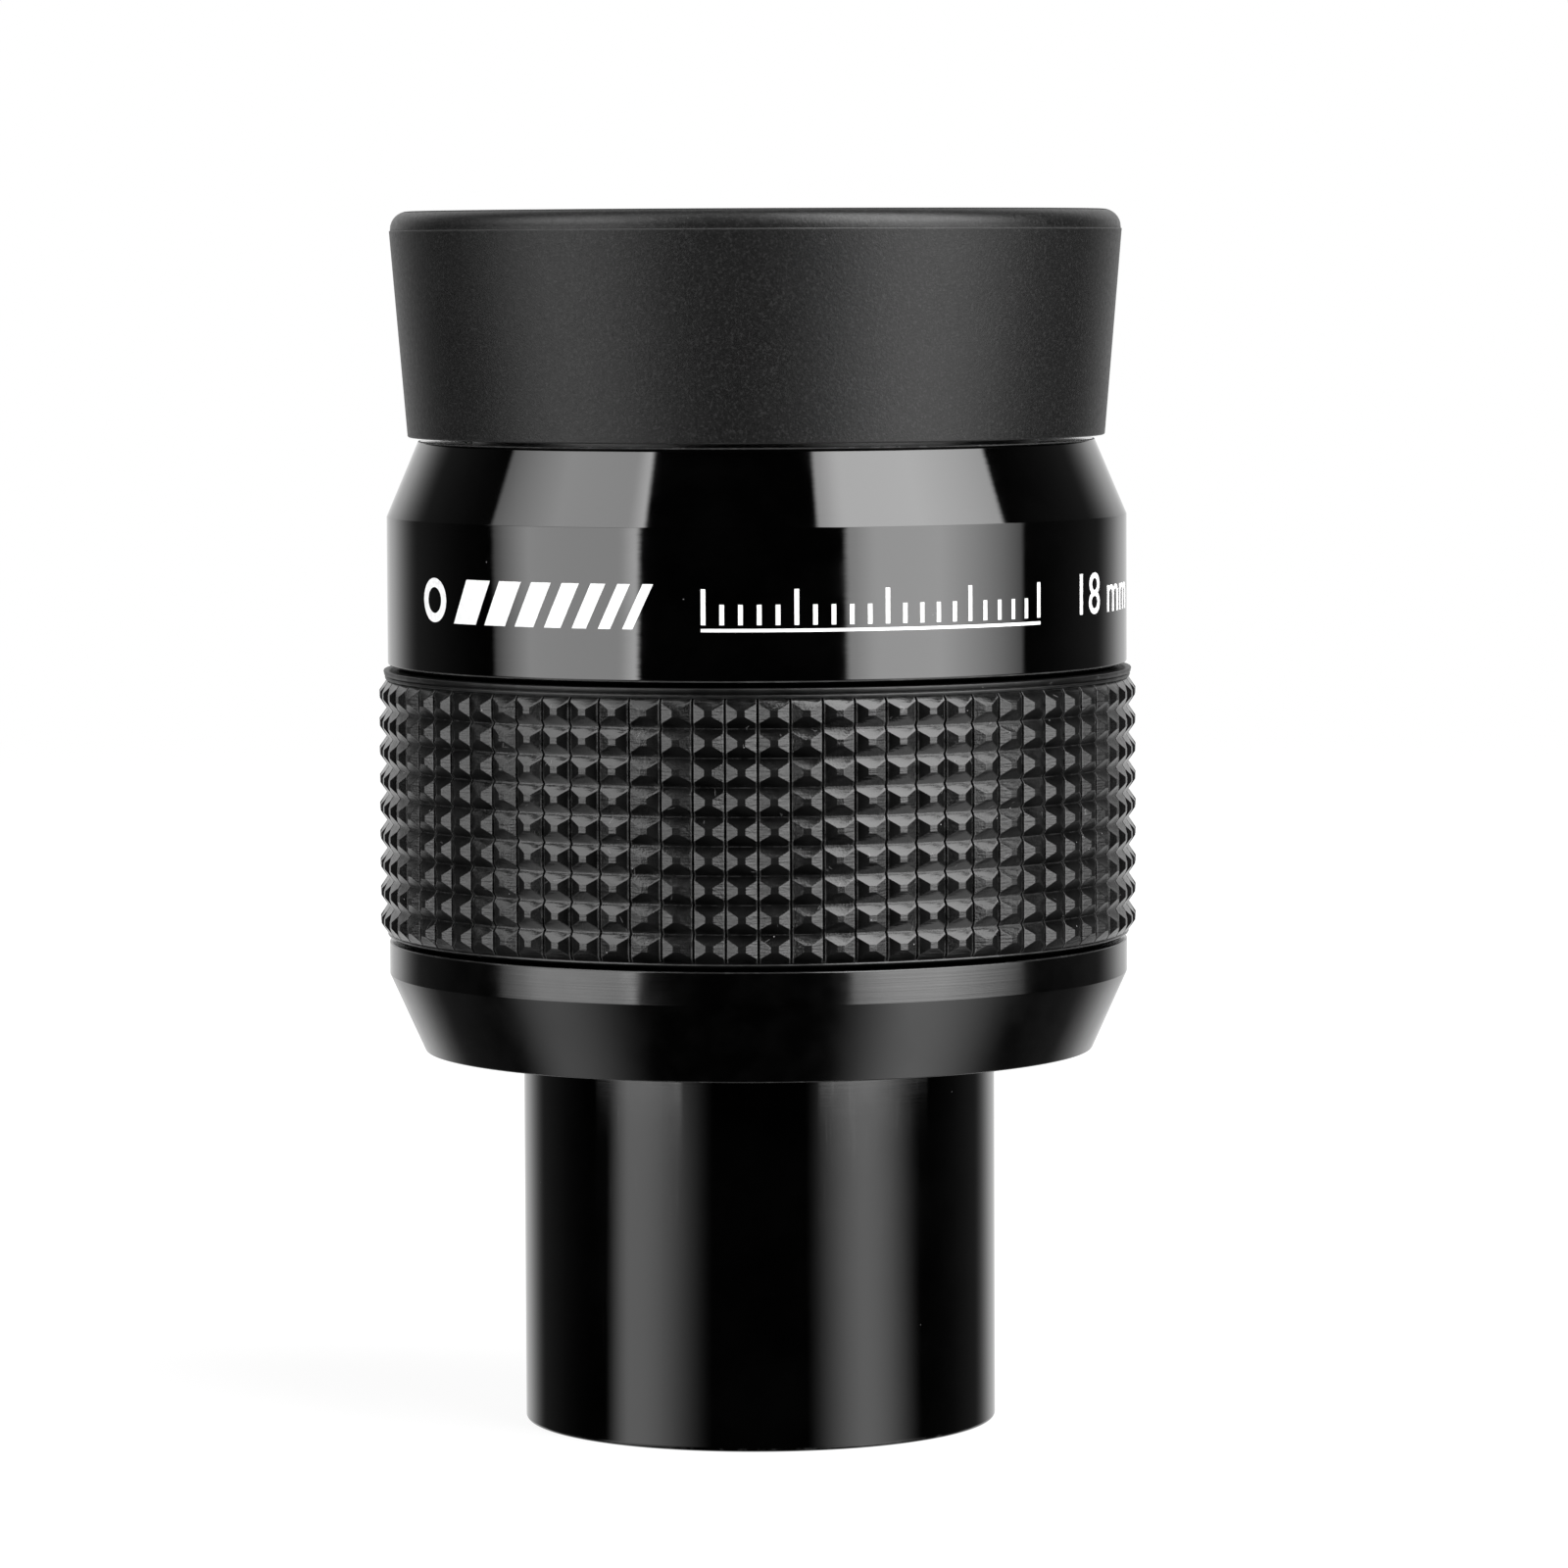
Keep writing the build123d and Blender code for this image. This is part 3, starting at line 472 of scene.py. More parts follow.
def rubber_grip():
    s = Surface("grip_rubber", **BLACK, **{"Specular IOR Level": 0.38})
    ridge = s.node("ShaderNodeAttribute", attribute_name="ridge").outputs["Fac"]
    x, y, z = s.xyz(s.place)
    # how far a point is from the middle of the slot beside it, and from the top of its row
    columns = s.math("MULTIPLY", s.math("ARCTAN2", x, y), COLUMNS / (2 * pi))
    from_slot = s.math("PINGPONG", s.math("ADD", columns, COLUMNS / 2), 0.5)
    from_slot = s.math("MULTIPLY", from_slot, 2 * pi * SIDE_FOOT / COLUMNS)
    rows = s.math("DIVIDE", s.math("SUBTRACT", KNURL_TOP * MM, z), ROW_PITCH * MM)
    from_row_top = s.math("MULTIPLY", s.math("FRACT", rows), ROW_PITCH)
    above_last_edge = s.math("GREATER_THAN", z, (KNURL_TOP - ROWS * ROW_PITCH) * MM)
    on_pyramids = s.math("MULTIPLY", s.math("LESS_THAN", z, KNURL_TOP * MM), above_last_edge)
    highlight_patches = s.ramp(s.grain(0.7, 3.0, 0.65), 0.36, 0.62, 0.15, 1.0)
    # a painted highlight: lighter colour along both sides of each slot between the columns, in patches
    slot_highlight = s.math("MULTIPLY", s.ramp(from_slot, 0.1, 0.19, 1.0, 0.0), highlight_patches)
    slot_highlight = s.math("MULTIPLY", slot_highlight, on_pyramids)
    # a painted highlight: a light line along the top edge of each row of pyramids, in patches
    row_top_highlight = s.math("MULTIPLY", s.ramp(from_row_top, 0.02, 0.1, 1.0, 0.0), highlight_patches)
    row_top_highlight = s.math("MULTIPLY", row_top_highlight, on_pyramids)
    lips = ((LOW_STEP_RADIUS, KNURL_TOP + 0.05), (GRIP_VALLEY, GRIP_BOTTOM + LOW_LINE))
    lip_edge = s.edge_wear_and_highlight(lips, width=0.1, evenness=0.6)
    # moulded-in marks of the tool that cut the mould's rows
    along_rows = s.vector(s.math("MULTIPLY", x, 0.12), s.math("MULTIPLY", y, 0.12), z)
    tool = s.noise(along_rows, 1 / (0.14 * MM), 2.0)
    grime = s.grain(2.4, 4.0, 0.65)
    fine = s.grain(0.13, 2.0, 0.6)
    dust = s.specks(spacing=0.9, size=0.055, share=0.16)
    lint = s.math("MULTIPLY", s.scratches(spacing=2.6, width=0.04, share=0.34), 0.6)
    base = s.mix_colour(s.ramp(grime, 0.35, 0.7), grey(0.0006), grey(0.0016))
    # the colours at the slots and at the row tops are painted highlights
    s.paint(base, (s.math("MULTIPLY", ridge, 0.5), grey(0.008)), (slot_highlight, grey(0.028)),
            (row_top_highlight, grey(0.014)), (lip_edge, grey(0.035)), (dust, grey(0.22)), (lint, grey(0.08)))
    rough = s.ramp(grime, 0.3, 0.7, 0.16, 0.25, smooth=False)
    rough = s.math("ADD", rough, s.math("MULTIPLY", dust, 0.3))
    on_lip = s.ramp(z, (KNURL_TOP + 0.01) * MM, (KNURL_TOP + 0.04) * MM)
    s.link("Roughness", s.math("ADD", rough, s.math("MULTIPLY", on_lip, 0.2)))
    s.bump(tool, 0.016)
    s.bump(fine, 0.008)
    s.bump(grime, 0.02)
    return s.material


def rubber_cup():
    s = Surface("cup_rubber", **BLACK, **{"Specular IOR Level": 0.31})
    cloud = s.grain(7.0, 4.0, 0.62)
    skin = s.grain(0.11, 2.0, 0.6)
    pores = s.grain(0.3, 3.0, 0.75)
    speckle = s.grain(0.17, 1.0)
    dust = s.specks(spacing=1.1, size=0.05, share=0.12)
    base = s.mix_colour(s.ramp(cloud, 0.35, 0.7), grey(0.0012), grey(0.0022))
    base = s.mix_colour(s.ramp(speckle, 0.5, 0.72), base, grey(0.0095))
    edges = ((CUP_TOP_RADIUS, CUP_STEP), (CUP_BOTTOM_RADIUS, CUP_BOTTOM))
    edge = s.edge_wear_and_highlight(edges, width=0.11, evenness=0.6)
    s.paint(base, (dust, grey(0.08)), (edge, grey(0.025)))
    z = s.xyz(s.place)[2]
    on_rim = s.ramp(z, (CUP_STEP - 0.05) * MM, (CUP_STEP + 0.25) * MM)
    rough = s.ramp(on_rim, 0.0, 1.0, 0.43, 0.36, smooth=False)
    rough = s.math("ADD", rough, s.ramp(pores, 0.3, 0.7, -0.04, 0.05))
    on_top = s.ramp(z, (CUP_TOP - 0.12) * MM, (CUP_TOP - 0.03) * MM)
    s.link("Roughness", s.math("ADD", rough, s.math("MULTIPLY", on_top, 0.42)))
    s.bump(skin, 0.011)
    s.bump(pores, 0.013)
    return s.material


def turned_metal(name, tone, roughness, mark_depth=0.004, spacing=0.12):
    """Black anodised or bare metal with rings from the lathe."""
    s = Surface(name, **BLACK)
    marks = s.turned_marks(spacing, 1.5)
    cloud = s.grain(2.5, 4.0, 0.6)
    dust = s.specks(spacing=1.3, size=0.05, share=0.1)
    base = s.mix_colour(s.ramp(cloud, 0.35, 0.7), grey(tone), grey(tone * 1.5))
    s.paint(base, (dust, grey(max(0.12, tone))))
    s.link("Roughness", s.ramp(marks, 0.3, 0.7, roughness - 0.06, roughness + 0.08, smooth=False))
    s.bump(marks, mark_depth)
    return s.material


def bright_steel():
    material = turned_metal("steel", tone=0.42, roughness=0.28, mark_depth=0.003)
    material.node_tree.nodes["Principled BSDF"].inputs["Metallic"].default_value = 1.0
    return material


def black_oxide():
    material = turned_metal("black_steel", tone=0.03, roughness=0.36, mark_depth=0.003)
    material.node_tree.nodes["Principled BSDF"].inputs["Metallic"].default_value = 1.0
    return material


def moulded_plastic():
    s = Surface("ring_plastic", **BLACK)
    cloud = s.grain(1.4, 4.0)
    s.paint(s.mix_colour(cloud, grey(0.014), grey(0.024)))
    s.link("Roughness", s.ramp(cloud, 0.3, 0.7, 0.36, 0.5, smooth=False))
    s.bump(s.grain(0.12, 3.0), 0.006)
    return s.material


def glass(name, tint, coating):
    """Optical glass. The coating colours what it mirrors."""
    s = Surface(name, **{"Base Color": tint, "IOR": 1.5, "Transmission Weight": 1.0})
    s.shader.inputs["Specular Tint"].default_value = coating
    smear = s.grain(4.0, 4.0, 0.65)
    dust = s.specks(spacing=1.5, size=0.045, share=0.08)
    s.paint(tint, (dust, grey(0.5)))
    rough = s.ramp(smear, 0.45, 0.75, 0.0, 0.03)
    s.link("Roughness", s.math("ADD", rough, s.math("MULTIPLY", dust, 0.4)))
    return s.material


def white_print():
    s = Surface("print_white", **{"Base Color": grey(0.82), "IOR": 1.45})
    ink = s.grain(0.35, 4.0, 0.7)
    s.paint(s.mix_colour(s.ramp(ink, 0.35, 0.7), grey(0.68), grey(0.84)))
    s.link("Roughness", s.ramp(ink, 0.3, 0.7, 0.38, 0.55, smooth=False))
    s.bump(ink, 0.006)
    return s.material


# ================================================================ shape helpers

SEGMENTS = 288
ARC_STEP = radians(12)
TINY = 0.04  # rounding of an edge that reads as sharp
TINY_ARC_STEP = radians(30)


def rounded_outline(corners):
    """Points and outward normals of a closed outline whose corners are rounded.

    corners are (radius, height, rounding), anticlockwise with the axis on the left."""
    points = []
    normals = []
    for index, (radius, height, rounding) in enumerate(corners):
        corner = Vector((radius, height))
        before = Vector(corners[index - 1][:2])
        after = Vector(corners[(index + 1) % len(corners)][:2])
        into = (corner - before).normalized()
        away = (after - corner).normalized()
        turn = atan2(into.x * away.y - into.y * away.x, into.dot(away))
        normal = Vector((into.y, -into.x))
        side = 1 if turn > 0 else -1
        centre = corner - into * rounding * tan(abs(turn) / 2) - normal * side * rounding
        arc_step = ARC_STEP if rounding > TINY else TINY_ARC_STEP
        steps = ceil(abs(turn) / arc_step - 0.001)  # none on a straight run
        for step in range(steps + 1):
            facing = Matrix.Rotation(turn * step / max(1, steps), 2) @ normal
            points.append(centre + facing * side * rounding)
            normals.append(facing)
    return points, normals


def link_piece(name, mesh, material, body, replaced=None):
    """Puts a finished mesh into the scene as a piece that rides on a body."""
    piece = bpy.data.objects.new(name, mesh)
    bpy.context.scene.collection.objects.link(piece)
    mesh.materials.append(material)
    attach(piece, body)
    if replaced:
        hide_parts(replaced)
    return piece


def lathe(name, corners, thread=None):
    """A turned mesh of a rounded outline. thread(radius, height, angle) can move its surface."""
    points, normals = rounded_outline(corners)
    count = len(points)
    vertices = []
    facing = []
    moved = []
    for segment in range(SEGMENTS):
        angle = 2 * pi * segment / SEGMENTS
        for (radius, height), normal in zip(points, normals):
            depth = thread(radius, height, angle) if thread else 0.0
            if depth:
                moved.append(len(vertices))
            out = radius + depth
            vertices.append((out * cos(angle) * MM, out * sin(angle) * MM, height * MM))
            facing.append(Vector((normal.x * cos(angle), normal.x * sin(angle), normal.y)))
    faces = []
    for segment in range(SEGMENTS):
        here = segment * count
        there = (segment + 1) % SEGMENTS * count
        for step in range(count):
            after = (step + 1) % count
            faces.append((here + step, there + step, there + after, here + after))
    mesh = bpy.data.meshes.new(name)
    mesh.from_pydata(vertices, [], faces)
    mesh.update()
    for index in moved:
        facing[index] = mesh.vertices[index].normal.copy()
    mesh.shade_smooth()
    mesh.normals_split_custom_set_from_vertices(facing)
    return mesh


# ======================================================================= barrel

BARREL_RADIUS = radius_of("nose_barrel")
BARREL_BOTTOM = bottom_of("nose_barrel")
BARREL_TOP = top_of("nose_barrel")
BARREL_ROUNDING = 0.3
SPIGOT_RADIUS = 14.95
BARREL_BORE = 14.0
LEDGE_TOP = -12.0
LEDGE_BOTTOM = -13.0
LEDGE_HOLE = 10.6
BAFFLE_BORE = 13.6
GROOVE_BOTTOM = -19.6
GROOVE_PITCH = 0.5
GROOVE_COUNT = 12
GROOVE_DEPTH = 0.3
RELIEF_RADIUS = 14.3
RELIEF_TOP = -19.8
THREAD_BORE = 13.93
THREAD_TOP = -20.6
THREAD_PITCH = 0.6
THREAD_DEPTH = 0.3
THREAD_STEPS = 10  # points per turn of the thread
THREAD_LEAD_IN = 0.3


def filter_thread(radius, height, angle):
    """How deep the filter thread is cut at a point of the bore. It fades in at its ends."""
    if abs(radius - THREAD_BORE) > 0.01 or not BARREL_BOTTOM + THREAD_LEAD_IN < height < THREAD_TOP:
        return 0.0
    place = (height / THREAD_PITCH - angle / (2 * pi)) % 1.0
    tooth = min(1.0, max(0.0, 1.35 - abs(4 * place - 2) * 0.85))
    from_ends = min(height - BARREL_BOTTOM - THREAD_LEAD_IN, THREAD_TOP - height)
    return THREAD_DEPTH * tooth * min(1.0, from_ends / THREAD_PITCH)


def make_barrel():
    grooves = []
    for index in range(GROOVE_COUNT):
        low = GROOVE_BOTTOM + index * GROOVE_PITCH
        grooves.append((BAFFLE_BORE, low, TINY / 2))
        grooves.append((BAFFLE_BORE + GROOVE_DEPTH, low + GROOVE_PITCH / 2, TINY / 2))
    step = THREAD_PITCH / THREAD_STEPS
    bottom = BARREL_BOTTOM + THREAD_LEAD_IN
    count = int((THREAD_TOP - bottom) / step)
    flanks = [(THREAD_BORE, bottom + step * index, 0.0) for index in range(count, 0, -1)]
    corners = [
        (BARREL_RADIUS, BARREL_BOTTOM, BARREL_ROUNDING),
        (BARREL_RADIUS, 0.0, TINY),
        (SPIGOT_RADIUS, 0.0, TINY),
        (SPIGOT_RADIUS, BARREL_TOP, 0.2),
        (BARREL_BORE, BARREL_TOP, TINY),
        (BARREL_BORE, LEDGE_TOP, TINY),
        (LEDGE_HOLE, LEDGE_TOP, TINY),
        (LEDGE_HOLE, LEDGE_BOTTOM, 0.1),
        (BAFFLE_BORE, LEDGE_BOTTOM, TINY),
        *reversed(grooves),
        (BAFFLE_BORE, RELIEF_TOP, TINY),
        (RELIEF_RADIUS, RELIEF_TOP, TINY),
        (RELIEF_RADIUS, THREAD_TOP, TINY),
        (THREAD_BORE, THREAD_TOP, TINY),
        *flanks,
        (THREAD_BORE, bottom, TINY),
        (THREAD_BORE + THREAD_LEAD_IN, BARREL_BOTTOM, TINY),
    ]
    mesh = lathe("barrel", corners, filter_thread)
    link_piece("barrel", mesh, smooth_barrel(), "housing", "nose_barrel")


# ============================================================== housing and shell

BAND_BOTTOM = 5.2
BAND_TOP = 7.4
SHELL_BOTTOM = 25.95
SHELL_CREASE = 35.85
SHELL_TOP = 40.9
SHELL_RADIUS = radius_of("upper_shell")
SHELL_TOP_RADIUS = 22.65
SHELL_SEAT = bottom_of("upper_shell")  # the raised seat that presses on the grip
SHELL_SEAT_RADIUS = 23.9
SEAT_SLOPE = 0.6  # the seats slope, so the gaps beside the grip look black
SHELL_BORE = 22.25
SHELL_NECK_HOLE = 19.03
SHELL_CAVITY = 20.6
SHELL_CAVITY_TOP = 38.9
NECK_FLANGE_TOP = 33.5

SHOULDER_RADIUS = 22.45
BARREL_SOCKET = 15.0
SOCKET_MOUTH = 15.9
SOCKET_TOP = 6.8
WEB_HOLE = 12.6
WEB_TOP = 8.5
STEM_RADIUS = 22.2
STEM_BORE = 17.0


def make_housing():
    """The shoulder, cone and band, with the stem inside the grip."""
    corners = [
        (SOCKET_MOUTH, 0.0, TINY),
        (SHOULDER_RADIUS, 0.0, 0.14),
        (SHELL_RADIUS, BAND_BOTTOM, 0.1),
        (SHELL_RADIUS, BAND_TOP, 0.12),
        (SHELL_SEAT_RADIUS + SEAT_SLOPE, BAND_TOP, TINY),
        (SHELL_SEAT_RADIUS, bottom_of("grip_sleeve"), TINY),
        (STEM_RADIUS, bottom_of("grip_sleeve"), TINY),
        (STEM_RADIUS, top_of("lower_housing"), 0.25),
        (STEM_BORE, top_of("lower_housing"), TINY),
        (STEM_BORE, WEB_TOP, TINY),
        (WEB_HOLE, WEB_TOP, TINY),
        (WEB_HOLE, SOCKET_TOP, TINY),
        (BARREL_SOCKET, SOCKET_TOP, TINY),
        (BARREL_SOCKET, SOCKET_MOUTH - BARREL_SOCKET, TINY),
    ]
    mesh = lathe("housing_shape", corners)
    link_piece("housing_shape", mesh, satin_housing(), "housing", "lower_housing")


def make_shell():
    """The gloss shell, with its edges just broken."""
    corners = [
        (SHELL_BORE, SHELL_SEAT, TINY),
        (SHELL_SEAT_RADIUS, SHELL_SEAT, TINY),
        (SHELL_SEAT_RADIUS + SEAT_SLOPE, SHELL_BOTTOM, TINY),
        (SHELL_RADIUS, SHELL_BOTTOM, 0.16),
        (SHELL_RADIUS, SHELL_CREASE, 0.1),
        (SHELL_TOP_RADIUS, SHELL_TOP, 0.1),
        (SHELL_NECK_HOLE, SHELL_TOP, TINY),
        (SHELL_NECK_HOLE, SHELL_CAVITY_TOP, TINY),
        (SHELL_CAVITY, SHELL_CAVITY_TOP, TINY),
        (SHELL_CAVITY, NECK_FLANGE_TOP, TINY),
        (SHELL_BORE, NECK_FLANGE_TOP, TINY),
    ]
    mesh = lathe("shell", corners)
    link_piece("shell", mesh, gloss_shell(), "housing", "upper_shell")


# ========================================================================= grip

GRIP_BOTTOM = bottom_of("grip_sleeve")
GRIP_TOP = top_of("grip_sleeve")
GRIP_PEAK = 25.4
GRIP_VALLEY = 24.9
GRIP_BORE = 22.25
GRIP_LIP = 25.1
LOW_STEP_RADIUS = 25.02
LOW_LINE = 0.25  # height of the fine edge below the last row, above the grip's underside
COLUMNS = 75
ROWS = 9
KNURL_TOP = 24.94
ROW_PITCH = 1.8875
TIP_WIDTH = 0.5
TIP_HEIGHT = 0.42
SIDE_FOOT = 25.1  # radius where a pyramid's flat side faces end, at the slots
SLOT_WIDTH = 0.15  # the narrow slot between two columns
SLOT_FLOOR = 24.6
TIP_WANDER = 0.018
TIP_SEED = 7
RIDGE_ROUNDING = 0.03
SIDE_ROUNDING_SHARE = 0.8  # how much of it the columns' side edges get
SHARP_FROM = radians(25)
UPPER_SLOPE_SHADING = 0.8  # how steep the slopes are shaded, as soft rubber evens them out
LOWER_SLOPE_SHADING = 0.92
WEAR_FALLOFF = 6  # how fast the wear fades from the tips down


def knurl_angles(column):
    """Angles of a column's left edge, tip edges and right edge. Column 0 starts facing -Y."""
    pitch = 2 * pi / COLUMNS
    left = -pi / 2 + column * pitch
    slot = SLOT_WIDTH / 2 / GRIP_VALLEY
    tip = TIP_WIDTH / 2 / GRIP_PEAK
    middle = left + pitch / 2
    return left + slot, middle - tip, middle + tip, left + pitch - slot


def knurl_heights(row):
    """Heights of a row's lower edge, side faces, tip and upper edge, from low to high."""
    middle = KNURL_TOP - (row + 0.5) * ROW_PITCH
    half_tip = TIP_HEIGHT / 2
    half_row = ROW_PITCH / 2
    # a side face ends where the steeper upper and lower faces have come down as far
    drop = (GRIP_PEAK - SIDE_FOOT) / (GRIP_PEAK - GRIP_VALLEY)
    half_side = half_tip + (half_row - half_tip) * drop
    return [middle + sign * half for sign, half in (
        (-1, half_row), (-1, half_side), (-1, half_tip), (1, half_tip), (1, half_side), (1, half_row))]


def ring_point(maker, radius, angle, height):
    """A new point of the grip."""
    return maker.verts.new((radius * cos(angle) * MM, radius * sin(angle) * MM, height * MM))


def column_side(maker, angle):
    """Points down one side of a column: its edge, three for each row, and the slot's floor."""
    edge = [ring_point(maker, GRIP_VALLEY, angle, KNURL_TOP)]
    floor = [ring_point(maker, SLOT_FLOOR, angle, KNURL_TOP)]
    for row in range(ROWS):
        low, side_low, _, _, side_high, _ = knurl_heights(row)
        edge.append(ring_point(maker, SIDE_FOOT, angle, side_high))
        edge.append(ring_point(maker, SIDE_FOOT, angle, side_low))
        edge.append(ring_point(maker, GRIP_VALLEY, angle, low))
        floor.append(ring_point(maker, SLOT_FLOOR, angle, low))
    return edge, floor


def pyramid_tip(maker, chance, column, row):
    """Four new corners of a pyramid's flat tip, which lies a little unevenly."""
    _, left, right, _ = knurl_angles(column)
    _, _, low, high, _, _ = knurl_heights(row)
    peak = GRIP_PEAK - chance.uniform(0, TIP_WANDER)
    across = chance.uniform(-TIP_WANDER, TIP_WANDER) / GRIP_PEAK
    up = chance.uniform(-TIP_WANDER, TIP_WANDER)
    corners = ((left, low), (right, low), (right, high), (left, high))
    return [ring_point(maker, peak, angle + across, height + up) for angle, height in corners]


def add_pyramids(maker):
    """Adds the columns of pyramids with the slots between them.

    Gives back the sides of the columns and the corners of all tips."""
    chance = Random(TIP_SEED)
    sides = []
    for column in range(COLUMNS):
        left_angle, _, _, right_angle = knurl_angles(column)
        sides.append((column_side(maker, left_angle), column_side(maker, right_angle)))
    tips = set()
    for column in range(COLUMNS):
        (left_edge, left_floor), (right_edge, right_floor) = sides[column]
        next_edge, next_floor = sides[(column + 1) % COLUMNS][0]
        for row in range(ROWS):
            left = left_edge[3 * row:3 * row + 4]
            right = right_edge[3 * row:3 * row + 4]
            tip = pyramid_tip(maker, chance, column, row)
            tips.update(tip)
            maker.faces.new(tip)
            maker.faces.new((left[3], right[3], right[2], tip[1], tip[0], left[2]))
            maker.faces.new((right[2], right[1], tip[2], tip[1]))
            maker.faces.new((left[0], left[1], tip[3], tip[2], right[1], right[0]))
            maker.faces.new((left[1], left[2], tip[0], tip[3]))
            # the walls and the floor of the slots
            maker.faces.new((right_floor[row + 1], right_floor[row], *right))
            maker.faces.new((left_floor[row], left_floor[row + 1], *reversed(left)))
            maker.faces.new((right_floor[row + 1], next_floor[row + 1], next_floor[row], right_floor[row]))
        maker.faces.new((right_floor[0], next_floor[0], next_edge[0], right_edge[0]))
        maker.faces.new((next_floor[-1], right_floor[-1], right_edge[-1], next_edge[-1]))
    return sides, tips


def add_lips(maker, sides):
    """Closes the sleeve with the plain lips above and below the pyramids, and the bore."""
    low_line = GRIP_BOTTOM + LOW_LINE
    profile = [
        # above a fine groove two plain steps, each leaning inwards below
        (GRIP_VALLEY - 0.1, KNURL_TOP + 0.02), (LOW_STEP_RADIUS - 0.06, KNURL_TOP + 0.04),
        (LOW_STEP_RADIUS, KNURL_TOP + 0.22), (LOW_STEP_RADIUS - 0.16, KNURL_TOP + 0.25),
        (GRIP_LIP - 0.26, KNURL_TOP + 0.3), (GRIP_LIP - 0.06, KNURL_TOP + 0.33),
        (GRIP_LIP, GRIP_TOP - 0.05), (GRIP_LIP - 0.03, GRIP_TOP - 0.01), (GRIP_LIP - 0.1, GRIP_TOP),
        (GRIP_BORE + 0.1, GRIP_TOP), (GRIP_BORE, GRIP_TOP - 0.1),
        (GRIP_BORE, GRIP_BOTTOM + 0.1), (GRIP_BORE + 0.1, GRIP_BOTTOM),
        # below the last row a fine edge, and under it a face that leans inwards
        (GRIP_VALLEY - 0.34, GRIP_BOTTOM), (GRIP_VALLEY - 0.02, low_line - 0.05),
        (GRIP_VALLEY + 0.02, low_line - 0.02), (GRIP_VALLEY + 0.02, low_line + 0.03),
        (GRIP_VALLEY - 0.06, low_line + 0.05),
    ]
    angles = []
    for column in range(COLUMNS):
        left, _, _, right = knurl_angles(column)
        angles += [left, right]
    rings = [[edge[0] for column in sides for edge, _ in column]]
    for radius, height in profile:
        rings.append([ring_point(maker, radius, angle, height) for angle in angles])
    rings.append([edge[-1] for column in sides for edge, _ in column])
    for ring, following in zip(rings, rings[1:]):
        for index in range(len(angles)):
            after = (index + 1) % len(angles)
            maker.faces.new((ring[index], ring[after], following[after], following[index]))


def make_grip():
    """The rubber grip: 75 columns and 9 rows of small pyramids between two plain lips."""
    maker = bmesh.new()
    rounded = maker.edges.layers.float.new("bevel_weight_edge")
    sides, tips = add_pyramids(maker)
    add_lips(maker, sides)
    side_edges = set()
    for column in sides:
        for edge, _ in column:
            side_edges.update(frozenset(pair) for pair in zip(edge, edge[1:]))
    for edge in maker.edges:
        if tips.intersection(edge.verts):
            edge[rounded] = 1.0
        elif frozenset(edge.verts) in side_edges:
            edge[rounded] = SIDE_ROUNDING_SHARE
        else:
            edge.smooth = edge.calc_face_angle(0.0) < SHARP_FROM
    mesh = bpy.data.meshes.new("grip_draft")
    maker.to_mesh(mesh)
    maker.free()
    mesh.shade_smooth()

    draft = bpy.data.objects.new("grip_draft", mesh)
    bpy.context.scene.collection.objects.link(draft)
    bevel = draft.modifiers.new("round_ridges", "BEVEL")
    bevel.limit_method = "WEIGHT"
    bevel.width = RIDGE_ROUNDING * MM
    bevel.segments = 2
    bevel.harden_normals = True
    shaped = bpy.data.meshes.new_from_object(draft.evaluated_get(bpy.context.evaluated_depsgraph_get()))
    bpy.data.objects.remove(draft)
    shaped.name = "grip"
    facing = [corner.vector.copy() for corner in shaped.corner_normals]
    for direction in facing:
        direction.z *= UPPER_SLOPE_SHADING if direction.z > 0 else LOWER_SLOPE_SHADING
        direction.normalize()
    shaped.normals_split_custom_set(facing)
    add_ridge_wear(shaped)
    link_piece("grip", shaped, rubber_grip(), "housing", "grip_sleeve")


def add_ridge_wear(mesh):
    """Marks each point of the grip by how near it is to a pyramid's tip, for the material."""
    wear = mesh.attributes.new("ridge", "FLOAT", "POINT")
    reach = (GRIP_PEAK - GRIP_VALLEY) * MM
    values = []
    for vert in mesh.vertices:
        radius = Vector(vert.co[:2]).length
        values.append(min(1.0, max(0.0, (radius - GRIP_VALLEY * MM) / reach)) ** WEAR_FALLOFF)
    wear.data.foreach_set("value", values)


# ====================================================================== eye cup

CUP_BOTTOM = bottom_of("eyecup_rubber")
CUP_TOP = top_of("eyecup_rubber")
CUP_TOP_RADIUS = radius_of("eyecup_rubber")
CUP_BOTTOM_RADIUS = 23.35
CUP_STEP = 54.9  # the fine moulding step under the rim's rounding
CUP_STEP_WIDTH = 0.07
CUP_RIM_ROUNDING = 1.2
CUP_LIP_RADIUS = 17.6
CUP_LIP_UNDERSIDE = 54.25
CUP_BORE = 21.25


def make_cup():
    """The rubber cup: a tapered wall, a fine step, a rounded rim and an inward lip."""
    rim = CUP_TOP_RADIUS - CUP_STEP_WIDTH
    corners = [
        (CUP_BOTTOM_RADIUS, CUP_BOTTOM, 0.12),
        (CUP_TOP_RADIUS, CUP_STEP, TINY),
        (rim, CUP_STEP + 0.01, TINY / 2),
        (rim, CUP_TOP, CUP_RIM_ROUNDING),
        (CUP_LIP_RADIUS, CUP_TOP, 1.0),
        (CUP_LIP_RADIUS, CUP_LIP_UNDERSIDE, 0.15),
        (CUP_BORE, CUP_LIP_UNDERSIDE, 0.1),
        (CUP_BORE, CUP_BOTTOM, 0.1),
    ]
    mesh = lathe("cup", corners)
    link_piece("cup", mesh, rubber_cup(), "eyecup", "eyecup_rubber")


# ======================================================================== print

